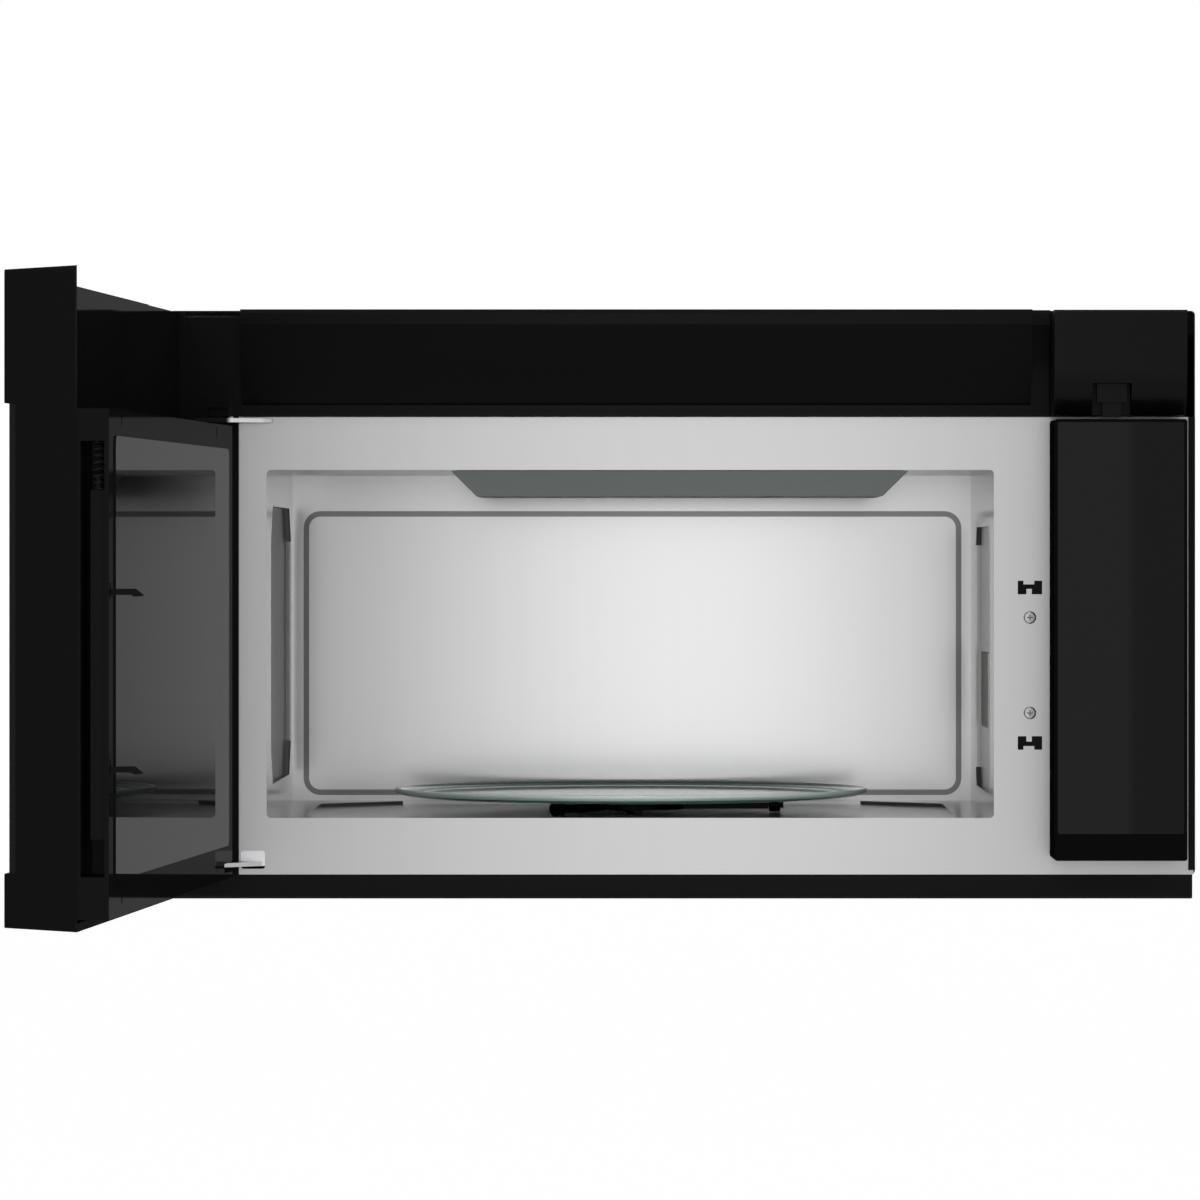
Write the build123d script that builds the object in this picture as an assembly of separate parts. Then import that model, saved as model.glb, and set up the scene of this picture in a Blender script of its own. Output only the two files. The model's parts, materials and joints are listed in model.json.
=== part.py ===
from build123d import *
import math
import os

# Over-the-range microwave oven, stored with its door open. Millimetres.
# X runs to the right, Y towards the wall, Z up. Heights in this script are measured up from
# the underside; the origin is the centre of the rear face, so every piece is lowered by half
# of the body's height when it is saved. "Forward" distances are measured from the face of
# the front frame towards the user. A drop or head is measured down from the edge above it.

# ---- body ----
BODY_WIDTH = 759.0
BODY_HEIGHT = 435.0
BODY_DEPTH = 392.0
SHEET = 1.2
CASE_BEND = 3.3
CASE_FLANGE = 5.0
BASE_HEIGHT = 18.0
BASE_INSET = 2.0
BASE_LIP_RADIUS = 4.0
VENT_ZONE = 78.6
HINGE_MARGIN = 72.2
LATCH_COLUMN = 41.3
CONTROL_MARGIN = 10.5

# ---- oven cavity ----
CAVITY_BOTTOM = 59.8
CAVITY_HEAD = 39.1
CAVITY_FROM_WALL = 16.0
CAVITY_WALL = 1.0
CAVITY_FLANGE = 12.0
OPENING_RADIUS = 3.0
FLOOR_DROP = 2.5
FLOOR_MARGIN_SIDE = 26.0
FLOOR_MARGIN_END = 12.0
FLOOR_CHAMFER = 62.0
LEFT_PANEL_DROP = 4.0
LEFT_PANEL_NEAR = 60.0
LEFT_PANEL_FROM_BACK = 25.0
LEFT_PANEL_LIFT = 22.2
LEFT_PANEL_HEAD = 26.3
LEFT_PANEL_CORNER = 26.0
RIGHT_PANEL_DROP = 3.0
RIGHT_PANEL_NEAR = 61.0
RIGHT_PANEL_FROM_BACK = 87.0
RIGHT_PANEL_LIFT = 15.2
RIGHT_PANEL_HEAD = 41.3
RIGHT_PANEL_CORNER = 14.0
BEAD_WIDTH = 4.4
BEAD_DEPTH = 2.0
BEAD_RADIUS = 13.5
BEAD_HEAD = 28.0
LAMP_HOLE_RADIUS = 3.2
LAMP_HOLE_PITCH = 13.0
CEILING_COVER_DROP = 18.4
CEILING_COVER_WIDTH = 343.0
CEILING_COVER_LENGTH = 230.0
CEILING_COVER_X = -1.5
CEILING_COVER_SKIN = 1.2

# ---- turntable ----
TURNTABLE_AHEAD = 1.0
TRAY_CLEARANCE = 6.0
TRAY_RIM_HEIGHT = 7.4
TRAY_RIM_WIDTH = 14.0
TRAY_GLASS = 4.0
ROLLER_RADIUS = 5.5
ROLLER_WIDTH = 9.0
ROLLER_AXLE_RADIUS = 1.6
ROLLER_PATH_RADIUS = 110.0
ROLLER_COUNT = 3
ROLLER_FIRST_ANGLE = 0.0
SUPPORT_RING_RADIUS = 42.0
SUPPORT_BAR = 7.0
SUPPORT_THICKNESS = 6.0
SHAFT_RADIUS = 3.5
HUB_RADIUS = 8.0
LOBE_LENGTH = 9.0
LOBE_WIDTH = 6.0

# ---- door ----
DOOR_BOTTOM = 9.8
DOOR_RISE = 6.8
DOOR_FRONT = 71.0
DOOR_SHELL_DEPTH = 47.0
DOOR_DRAFT = 2.7
DOOR_WALL = 3.0
DOOR_GLASS = 4.0
GLASS_RECESS = 3.3
GLASS_BOTTOM = 47.7
GLASS_DROP = 3.9
INNER_FACE = 2.4
INNER_BOTTOM = 18.0
INNER_DROP = 7.4
FACE_WALL = 3.0
LINER_FACE = 45.0
LINER_DROP = 2.0
PANEL_THICKNESS = 3.0
PANEL_PROUD = 1.0
PANEL_MARGIN_LEFT = 15.7
PANEL_MARGIN_RIGHT = 13.3
PANEL_MARGIN_BOTTOM = 17.8
PANEL_MARGIN_TOP = 14.7
WINDOW_INSET_X = 45.0
WINDOW_INSET_BOTTOM = 24.2
WINDOW_INSET_TOP = 21.3
SCREEN_COLUMNS = 14
SCREEN_ROWS = 7
SCREEN_BAR = 4.0
CHANNEL_DEPTH = 26.0
CHANNEL_BOTTOM = 45.7
CHANNEL_DROP = 28.4
HINGE_FROM_SIDE = 22.3
HINGE_FORWARD = 30.0
HINGE_PIN_RADIUS = 3.0
HINGE_PIN_LENGTH = 14.0
HINGE_PLATE = 3.0
LOWER_HINGE_BOTTOM = 24.3
DOOR_OPEN_ANGLE = 94.0
# Curved back edge of the hinge-end wall: forward distance, height from the body's top.
HORN_PROFILE = ((40.6, 8.0), (39.8, -10.7), (33.9, -29.1), (26.5, -44.7), (23.0, -49.0))
EAR_PROFILE = ((9.0, -72.0), (9.0, -57.2), (17.3, -56.5), (24.0, -47.8), (24.0, -72.0))

# ---- latch ----
LATCH_FROM_CAVITY = 26.7
LOWER_LATCH_LIFT = 55.5
UPPER_LATCH_HEAD = 87.0
LATCH_SLOT_WIDTH = 18.0
LATCH_SLOT_HEIGHT = 10.0
SLOT_TOOTH_LOW = 4.0
SLOT_TOOTH_HIGH = 2.7
HOOK_OFFSET = 5.3
HOOK_WIDTH = 3.6
HOOK_REACH = 22.0
HOOK_THICKNESS = 4.0
HOOK_BARB = 1.2
BAR_WIDTH = 10.0
BAR_THICKNESS = 9.0
BAR_BELOW = 45.3
BAR_ABOVE = 65.7
LATCH_TRAVEL = 2.0
SPRING_RADIUS = 3.9
SPRING_WIRE = 0.5
SPRING_TURNS = 7
BRACKET_LEFT_REACH = 12.9
BRACKET_RIGHT_REACH = 13.6
BRACKET_OVERHANG = 17.0
BRACKET_DEPTH = 38.0

# ---- control column ----
CONTROL_WIDTH = 97.0
CONTROL_BOTTOM = 30.8
CONTROL_DROP = 2.7
CONTROL_FORWARD = 65.0
CONTROL_BAND_TOP = 50.2
CONTROL_GLASS = 3.0
CONTROL_WALL = 2.5
DISPLAY_HEIGHT = 42.0
DISPLAY_DROP = 27.7
BOARD_FORWARD = 50.0
BOARD_THICKNESS = 1.6

# ---- vent ----
VENT_COVER_DROP = 1.4
COVER_REAR = 3.0
COVER_WALL = 2.5
COVER_LATCH_WIDTH = 28.5
COVER_LATCH_HEIGHT = 23.2
COVER_PIVOT_FORWARD = 6.0
COVER_PIVOT_DROP = 8.0
COVER_PIVOT_RADIUS = 2.0
COWL_FROM_HINGE = 32.2
COWL_NOSE = 35.0
COWL_END_NOSE = 18.0
COWL_END_LENGTH = 14.0
COWL_WALL = 2.5
COWL_SLOT_PITCH = 16.0
COWL_SLOT = 11.0
EXHAUST_LENGTH = 254.0
EXHAUST_WIDTH = 82.5
EXHAUST_FROM_WALL = 32.5
WHEEL_RADIUS = 40.0
WHEEL_WIDTH = 86.0
WHEEL_BLADES = 26
BLOWER_INNER = 34.0
BLOWER_OUTER = 127.0
BLOWER_DROP = 60.0
BLOWER_SCROLL = 50.0
BLOWER_SHEET = 1.5
BLOWER_SHAFT = 4.0
COLLAR_HEIGHT = 9.0
FLAP_PIVOT_INSET = 4.0
FLAP_LIFT = 4.0
FLAP_PIN = 1.5
FILTER_LENGTH = 250.0
FILTER_WIDTH = 130.0
FILTER_THICKNESS = 8.0
FILTER_FROM_SIDE = 174.5
FILTER_FROM_FRAME = 207.0
FILTER_SEAT = 9.2
FILTER_BORDER = 12.0
LAMP_X = 120.0
LAMP_FROM_FRAME = 57.0
LAMP_LENGTH = 92.0
LAMP_WIDTH = 52.0
LAMP_AXIS_HEIGHT = 18.0
LAMP_BASE_RADIUS = 8.0

# ---- high-voltage side ----
WAVEGUIDE_NEAR = 130.0
WAVEGUIDE_FAR = 220.0
WAVEGUIDE_BOTTOM = 128.0
WAVEGUIDE_MOUTH = 46.0
WAVEGUIDE_DEPTH = 44.0
WAVEGUIDE_SHEET = 1.5
MAGNETRON_BACK = 175.0
MAGNETRON_HEIGHT = 225.0
MAGNETRON_HALF = 40.0
MAGNETRON_FINS = 5
FAN_BEHIND_MAGNETRON = 27.0
FAN_Z = 225.0
FAN_RADIUS = 52.0
FAN_SHAFT = 2.5
TRANSFORMER_FROM_FRAME = 74.0
CAPACITOR_BEHIND_FILTER = 56.0
CUTOUTS = ((-170.0, 85.0), (120.0, 35.0))
BOARD_POST_LIFTS = (80.0, 170.0, 220.0)
REAR_VENTS = (150.0, 230.0)
REAR_VENT_PITCH = 14.0

# ---- fixings and cord inlet ----
CABINET_BOLT_X = (-203.0, 203.0)
CABINET_BOLT_FROM_FRAME = 92.0
BOLT_RAIL_HALF = 18.0
CABINET_BOLT_RADIUS = 3.2
CABINET_HOLE_RADIUS = 3.6
HANGER_X = (-260.0, 0.0, 260.0)
HANGER_HEIGHT = 32.0
SCREW_RADIUS = 2.0
LATCH_SCREW_OFFSET = 22.2
HINGE_SLOT_WIDTH = 17.7
CORD_FROM_SIDE = 49.5
CORD_Y = -60.0
CORD_HOLE_RADIUS = 9.0
CORD_BORE_RADIUS = 4.5
FLOOR_HOLE_RADIUS = 9.0

# ---- clearances ----
RUNNING = 0.05
FREE = 0.3
DOOR_GAP = 3.0
SEAM = 0.5

# ---- worked out from the above ----
HALF_WIDTH = BODY_WIDTH / 2
CASE_INSIDE = HALF_WIDTH - SHEET
TOP_INSIDE = BODY_HEIGHT - SHEET
FRAME_TOP = BODY_HEIGHT - VENT_ZONE
CONTROL_RIGHT = HALF_WIDTH - CONTROL_MARGIN
CONTROL_LEFT = CONTROL_RIGHT - CONTROL_WIDTH
CONTROL_TOP = FRAME_TOP - CONTROL_DROP
CAVITY_LEFT = HINGE_MARGIN - HALF_WIDTH
CAVITY_RIGHT = CONTROL_LEFT - LATCH_COLUMN
CAVITY_WIDTH = CAVITY_RIGHT - CAVITY_LEFT
CAVITY_TOP = FRAME_TOP - CAVITY_HEAD
CAVITY_X = (CAVITY_LEFT + CAVITY_RIGHT) / 2
CAVITY_SIDE = CAVITY_RIGHT + RIGHT_PANEL_DROP + CAVITY_WALL
CAVITY_ROOF = CAVITY_TOP + CAVITY_WALL
CAVITY_DEPTH = BODY_DEPTH - CAVITY_FROM_WALL
LEFT_PANEL_FAR = CAVITY_DEPTH - LEFT_PANEL_FROM_BACK
RIGHT_PANEL_FAR = CAVITY_DEPTH - RIGHT_PANEL_FROM_BACK
TURNTABLE_FORWARD = TURNTABLE_AHEAD - CAVITY_DEPTH / 2
TRAY_RADIUS = -TURNTABLE_FORWARD - TRAY_CLEARANCE
FLOOR = CAVITY_BOTTOM - FLOOR_DROP
BAY_X = (CAVITY_SIDE + CASE_INSIDE) / 2
BAY_LEFT = CONTROL_LEFT + 12
BAY_RIGHT = CONTROL_RIGHT - 12
AXLE_HEIGHT = FLOOR + ROLLER_RADIUS + FREE
SUPPORT_TOP = AXLE_HEIGHT + SUPPORT_THICKNESS / 2
TRAY_BOTTOM = AXLE_HEIGHT + ROLLER_RADIUS + FREE
DOOR_LEFT = -HALF_WIDTH
DOOR_RIGHT = CONTROL_LEFT - DOOR_GAP
DOOR_WIDTH = DOOR_RIGHT - DOOR_LEFT
DOOR_TOP = BODY_HEIGHT + DOOR_RISE
LINER_TOP = BODY_HEIGHT - LINER_DROP
SHELL_REAR = DOOR_FRONT - DOOR_SHELL_DEPTH
SHELL_LEFT = DOOR_LEFT + DOOR_WALL + DOOR_DRAFT
SHELL_RIGHT = DOOR_RIGHT - DOOR_WALL - DOOR_DRAFT
SHELL_FLOOR = DOOR_BOTTOM + DOOR_DRAFT + DOOR_WALL
GLASS_SEAT = DOOR_FRONT - GLASS_RECESS - DOOR_GLASS
GLASS_TOP = FRAME_TOP - GLASS_DROP
HINGE_X = DOOR_LEFT + HINGE_FROM_SIDE
INNER_LEFT = HINGE_X + 9.0
INNER_RIGHT = DOOR_RIGHT - 0.8
INNER_TOP = FRAME_TOP - INNER_DROP
CHANNEL_TOP = FRAME_TOP - CHANNEL_DROP
PANEL_LEFT = CAVITY_LEFT - PANEL_MARGIN_LEFT
PANEL_RIGHT = CAVITY_RIGHT + PANEL_MARGIN_RIGHT
PANEL_BOTTOM = CAVITY_BOTTOM - PANEL_MARGIN_BOTTOM
PANEL_TOP = CAVITY_TOP + PANEL_MARGIN_TOP
WINDOW_LEFT = CAVITY_LEFT + WINDOW_INSET_X
WINDOW_RIGHT = CAVITY_RIGHT - WINDOW_INSET_X
WINDOW_BOTTOM = CAVITY_BOTTOM + WINDOW_INSET_BOTTOM
WINDOW_TOP = CAVITY_TOP - WINDOW_INSET_TOP
UPPER_HINGE_TOP = FRAME_TOP - SHEET
UPPER_ARM_LEFT = HINGE_X + 21.6
UPPER_ARM_RIGHT = HINGE_X + 53.9
LOWER_ARM_LEFT = HINGE_X + 32.7
LOWER_ARM_RIGHT = HINGE_X + 46.7
HINGE_SLOT_LEFT = HINGE_X + 31.0
LATCH_X = CAVITY_RIGHT + LATCH_FROM_CAVITY
LATCH_HEIGHTS = (CAVITY_BOTTOM + LOWER_LATCH_LIFT, CAVITY_TOP - UPPER_LATCH_HEAD)
LATCH_SCREW_HEIGHTS = (LATCH_HEIGHTS[0] + LATCH_SCREW_OFFSET, LATCH_HEIGHTS[1] - LATCH_SCREW_OFFSET)
HOOK_X = LATCH_X + HOOK_OFFSET
BAR_LEFT = HOOK_X - BAR_WIDTH + HOOK_WIDTH
BAR_RIGHT = BAR_LEFT + BAR_WIDTH
BAR_X = (BAR_LEFT + BAR_RIGHT) / 2
BAR_BOTTOM = LATCH_HEIGHTS[0] - BAR_BELOW
BAR_TOP = LATCH_HEIGHTS[1] + BAR_ABOVE
BRACKET_LEFT = LATCH_X - BRACKET_LEFT_REACH
BRACKET_RIGHT = LATCH_X + BRACKET_RIGHT_REACH
BRACKET_BOTTOM = LATCH_HEIGHTS[0] - BRACKET_OVERHANG
BRACKET_TOP = LATCH_HEIGHTS[1] + BRACKET_OVERHANG
DISPLAY_TOP = CONTROL_TOP - DISPLAY_DROP
DISPLAY_BOTTOM = DISPLAY_TOP - DISPLAY_HEIGHT
VENT_COVER_BOTTOM = FRAME_TOP + 0.4
VENT_COVER_TOP = BODY_HEIGHT - VENT_COVER_DROP
COVER_LATCH_LEFT = CONTROL_LEFT + 28
COVER_LATCH_RIGHT = COVER_LATCH_LEFT + COVER_LATCH_WIDTH
COVER_LATCH_TOP = VENT_COVER_BOTTOM + COVER_LATCH_HEIGHT
COVER_PIVOT_Y = -BODY_DEPTH - COVER_PIVOT_FORWARD
COVER_PIVOT_HEIGHT = BODY_HEIGHT - COVER_PIVOT_DROP
COWL_LEFT = HINGE_X + COWL_FROM_HINGE
COWL_RIGHT = CONTROL_LEFT - SEAM
COWL_FOOT = FRAME_TOP + 0.8
EXHAUST_REAR = -EXHAUST_FROM_WALL
EXHAUST_FRONT = EXHAUST_REAR - EXHAUST_WIDTH
EXHAUST_Y = (EXHAUST_REAR + EXHAUST_FRONT) / 2
FLAP_PIVOT_Y = EXHAUST_REAR - FLAP_PIVOT_INSET
FLAP_HEIGHT = BODY_HEIGHT + FLAP_LIFT
BLOWER_HEIGHT = BODY_HEIGHT - BLOWER_DROP
FILTER_X = HALF_WIDTH - FILTER_FROM_SIDE
CABINET_BOLT_Y = CABINET_BOLT_FROM_FRAME - BODY_DEPTH
FILTER_Y = FILTER_FROM_FRAME - BODY_DEPTH
LAMP_Y = LAMP_FROM_FRAME - BODY_DEPTH
MAGNETRON_Y = MAGNETRON_BACK - BODY_DEPTH
FAN_X = BAY_X
FAN_Y = MAGNETRON_Y + MAGNETRON_HALF + FAN_BEHIND_MAGNETRON
TRANSFORMER_Y = TRANSFORMER_FROM_FRAME - BODY_DEPTH
CAPACITOR_Y = FILTER_Y + FILTER_WIDTH / 2 + CAPACITOR_BEHIND_FILTER
CORD_X = HALF_WIDTH - CORD_FROM_SIDE


def forward(distance):
    """Y of a point that many millimetres in front of the front frame's face."""
    return -BODY_DEPTH - distance


TURNTABLE_Y = forward(TURNTABLE_FORWARD)
HINGE_Y = forward(HINGE_FORWARD)


# ---- helpers ----
def block(x0, x1, y0, y1, z0, z1):
    size = Box(abs(x1 - x0), abs(y1 - y0), abs(z1 - z0))
    return Pos((x0 + x1) / 2, (y0 + y1) / 2, (z0 + z1) / 2) * size


def plate(x0, x1, z0, z1, y0, y1, radius=0.0):
    """Upright plate with rounded corners between two depths."""
    low, high = min(y0, y1), max(y0, y1)
    width, height = x1 - x0, z1 - z0
    outline = RectangleRounded(width, height, radius) if radius else Rectangle(width, height)
    face = Plane.XZ.offset(-high) * Pos((x0 + x1) / 2, (z0 + z1) / 2) * outline
    return extrude(face, high - low)


def slab(x0, x1, y0, y1, z0, z1, radius):
    """Level plate with rounded corners between two heights."""
    outline = RectangleRounded(abs(x1 - x0), abs(y1 - y0), radius)
    return extrude(Pos((x0 + x1) / 2, (y0 + y1) / 2, z0) * outline, z1 - z0)


def along_x(points, x0, x1):
    """Closed outline of (Y, Z) corners run from one X to another."""
    face = make_face(Polyline(*[(0, y, z) for y, z in points], close=True))
    return Pos(x0, 0, 0) * extrude(face, x1 - x0, dir=(1, 0, 0))


def rod_x(x0, x1, y, z, radius):
    return Pos((x0 + x1) / 2, y, z) * Rot(0, 90, 0) * Cylinder(radius, abs(x1 - x0))


def rod_y(x, y0, y1, z, radius):
    return Pos(x, (y0 + y1) / 2, z) * Rot(90, 0, 0) * Cylinder(radius, abs(y1 - y0))


def rod_z(x, y, z0, z1, radius):
    return Pos(x, y, (z0 + z1) / 2) * Cylinder(radius, abs(z1 - z0))


def pan_screw_y(x, y, z, radius, length):
    """Pan-head screw pushed in towards the wall, its head on the face at y."""
    head = rod_y(x, y - 2.2, y, z, radius * 1.9)
    shank = rod_y(x, y, y + length, z, radius)
    return head + shank


# ---- outer case ----
def make_outer_case():
    case = plate(-HALF_WIDTH, HALF_WIDTH, BASE_HEIGHT, BODY_HEIGHT, forward(0), -SHEET, CASE_BEND)
    hollow = plate(-CASE_INSIDE, CASE_INSIDE, 0, TOP_INSIDE, forward(1), 1, CASE_BEND - SHEET)
    case -= hollow
    for side in (-1, 1):
        edges = sorted((side * HALF_WIDTH, side * (HALF_WIDTH - CASE_FLANGE)))
        case += plate(*edges, BASE_HEIGHT + CASE_BEND, FRAME_TOP, forward(SHEET), forward(0))
        for z in (BODY_HEIGHT * 0.28, BODY_HEIGHT * 0.72):
            bead = block(-3, 3, forward(-60), -60, z - 4, z + 4)
            case -= Pos(side * (HALF_WIDTH + 3 - 0.5), 0, 0) * bead
    case -= exhaust_hole(TOP_INSIDE - 1, BODY_HEIGHT + 1, 0)
    for x in CABINET_BOLT_X:
        case -= rod_z(x, CABINET_BOLT_Y, TOP_INSIDE - 1, BODY_HEIGHT + 1, CABINET_HOLE_RADIUS)
    case -= rod_z(CORD_X, CORD_Y, TOP_INSIDE - 1, BODY_HEIGHT + 1, CORD_HOLE_RADIUS)
    return case


def exhaust_hole(z0, z1, grow):
    half = EXHAUST_LENGTH / 2 + grow
    return block(-half, half, EXHAUST_FRONT - grow, EXHAUST_REAR + grow, z0, z1)


def make_top_bracket():
    """Folded steel rail under the top that takes the two cabinet bolts."""
    half = CASE_INSIDE - CASE_BEND
    front, back = CABINET_BOLT_Y - BOLT_RAIL_HALF, CABINET_BOLT_Y + BOLT_RAIL_HALF
    rail = block(-half, half, front, back, TOP_INSIDE - 2, TOP_INSIDE)
    for y in (front, back - 2):
        rail += block(-half, half, y, y + 2, TOP_INSIDE - 14, TOP_INSIDE)
    for x in CABINET_BOLT_X:
        rail += rod_z(x, CABINET_BOLT_Y, TOP_INSIDE - 10, TOP_INSIDE - 2, 8)
        rail -= rod_z(x, CABINET_BOLT_Y, TOP_INSIDE - 12, TOP_INSIDE + 1, CABINET_BOLT_RADIUS)
    return rail


def make_rear_plate():
    rear = plate(-HALF_WIDTH, HALF_WIDTH, 0, BODY_HEIGHT, -SHEET, 0, CASE_BEND)
    for x in HANGER_X:
        rear -= plate(x - 9, x + 9, HANGER_HEIGHT - 4, HANGER_HEIGHT + 4, -SHEET - 1, 1, 2)
    for column in range(7):
        x = BAY_X - 44.5 + column * REAR_VENT_PITCH
        rear -= plate(x - 3, x + 3, *REAR_VENTS, -SHEET - 1, 1, 2.9)
    return rear


def make_base_pan():
    half = HALF_WIDTH - BASE_INSET
    pan = block(-half, half, forward(0), -SHEET, 0, BASE_HEIGHT)
    lower_front = pan.edges().filter_by(Axis.X).group_by(Axis.Y)[0].group_by(Axis.Z)[0]
    pan = fillet(lower_front, BASE_LIP_RADIUS)
    inner = half - SHEET
    pan -= block(-inner, inner, forward(-SHEET), -2 * SHEET, SHEET, BASE_HEIGHT + 1)
    for side in (-1, 1):
        x = side * FILTER_X
        length, width = FILTER_LENGTH + 6, FILTER_WIDTH + 6
        ledge = block(x - length / 2 - 8, x + length / 2 + 8, FILTER_Y - width / 2 - 8,
                      FILTER_Y + width / 2 + 8, SHEET, FILTER_SEAT + SHEET)
        pan += ledge
        pan -= block(x - length / 2, x + length / 2, FILTER_Y - width / 2, FILTER_Y + width / 2,
                     -1, FILTER_SEAT)
        pan -= block(x - length / 2 + 14, x + length / 2 - 14, FILTER_Y - width / 2 + 14,
                     FILTER_Y + width / 2 - 14, -1, FILTER_SEAT + 5)
        lamp = side * LAMP_X
        pan -= slab(lamp - LAMP_LENGTH / 2, lamp + LAMP_LENGTH / 2, LAMP_Y - LAMP_WIDTH / 2,
                    LAMP_Y + LAMP_WIDTH / 2, -1, SHEET + 1, 4)
    return pan


def make_front_frame():
    frame = plate(-CASE_INSIDE, CASE_INSIDE, BASE_HEIGHT, FRAME_TOP, forward(0), forward(-SHEET))
    frame -= plate(CAVITY_LEFT, CAVITY_RIGHT, CAVITY_BOTTOM, CAVITY_TOP, forward(1), forward(-3),
                   OPENING_RADIUS)
    for z, way in zip(LATCH_HEIGHTS, (-1, 1)):
        frame -= latch_slot(z, forward(1), forward(-3), 0) - slot_teeth(z, way)
    for z in LATCH_SCREW_HEIGHTS:
        frame -= rod_y(LATCH_X, forward(1), forward(-3), z, SCREW_RADIUS + FREE)
    frame -= plate(BAY_LEFT, BAY_RIGHT, CONTROL_BOTTOM + 30, CONTROL_TOP - 20, forward(1), forward(-3), 4)
    frame -= plate(HINGE_SLOT_LEFT, HINGE_SLOT_LEFT + HINGE_SLOT_WIDTH, LOWER_HINGE_BOTTOM - 2.1,
                   LOWER_HINGE_BOTTOM + 11.2, forward(1), forward(-3), 2)
    frame -= block(UPPER_ARM_LEFT - FREE, UPPER_ARM_RIGHT + FREE, forward(1), forward(-SHEET),
                   UPPER_HINGE_TOP - HINGE_PLATE - FREE, FRAME_TOP + 1)
    flange = block(-CASE_INSIDE, CASE_INSIDE, forward(-SHEET), forward(-14), FRAME_TOP - SHEET, FRAME_TOP)
    return frame + flange


def latch_slot(z, y0, y1, grow):
    return plate(LATCH_X - LATCH_SLOT_WIDTH / 2 - grow, LATCH_X + LATCH_SLOT_WIDTH / 2 + grow,
                 z - LATCH_SLOT_HEIGHT / 2 - grow, z + LATCH_SLOT_HEIGHT / 2 + grow, y0, y1)


def slot_teeth(z, way):
    """Teeth that narrow a latch slot to an H; way is 1 in the upper slot, -1 in the lower."""
    edge = way * LATCH_SLOT_HEIGHT / 2
    narrow = block(LATCH_X - 2.6, LATCH_X + 1.4, forward(2), forward(-4), z - edge,
                   z - edge + way * SLOT_TOOTH_LOW)
    wide = block(LATCH_X - 4.8, LATCH_X + 3.2, forward(2), forward(-4), z + edge,
                 z + edge - way * SLOT_TOOTH_HIGH)
    return narrow + wide


# ---- oven cavity ----
def floor_recess(shrink, z0, z1):
    """Octagonal pressing in the floor that the rollers run in."""
    length = CAVITY_DEPTH - 2 * FLOOR_MARGIN_END - 2 * shrink
    width = CAVITY_WIDTH - 2 * FLOOR_MARGIN_SIDE - 2 * shrink
    outline = chamfer(Rectangle(width, length).vertices(), FLOOR_CHAMFER)
    return extrude(Pos(CAVITY_X, forward(-CAVITY_DEPTH / 2), z0) * outline, z1 - z0)


def side_pressing(x0, x1, near, far, z0, z1, corner):
    """Pressing in a side wall with its corners cut off."""
    outline = chamfer(Rectangle(far - near, z1 - z0).vertices(), corner)
    face = Plane.YZ.offset(x0) * Pos(forward(-(near + far) / 2), (z0 + z1) / 2) * outline
    return extrude(face, x1 - x0)


def left_pressing(x0, x1, grow):
    return side_pressing(x0, x1, LEFT_PANEL_NEAR - grow, LEFT_PANEL_FAR + grow,
                         CAVITY_BOTTOM + LEFT_PANEL_LIFT - grow, CAVITY_TOP - LEFT_PANEL_HEAD + grow,
                         LEFT_PANEL_CORNER)


def right_pressing(x0, x1, grow):
    return side_pressing(x0, x1, RIGHT_PANEL_NEAR - grow, RIGHT_PANEL_FAR + grow,
                         CAVITY_BOTTOM + RIGHT_PANEL_LIFT - grow, CAVITY_TOP - RIGHT_PANEL_HEAD + grow,
                         RIGHT_PANEL_CORNER)


def back_bead(y0, y1, grow):
    """Rounded rectangular bead that stiffens the back wall."""
    x0, x1 = CAVITY_LEFT + 8.7 - grow, CAVITY_RIGHT - 7.5 + grow
    z0, z1 = CAVITY_BOTTOM + 4.3 - grow, CAVITY_TOP - BEAD_HEAD + grow
    inset = BEAD_WIDTH + 2 * grow
    ring = plate(x0, x1, z0, z1, y0, y1, BEAD_RADIUS + grow)
    hole = plate(x0 + inset, x1 - inset, z0 + inset, z1 - inset, y0 - 1, y1 + 1,
                 BEAD_RADIUS - BEAD_WIDTH - grow)
    return ring - hole


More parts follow.
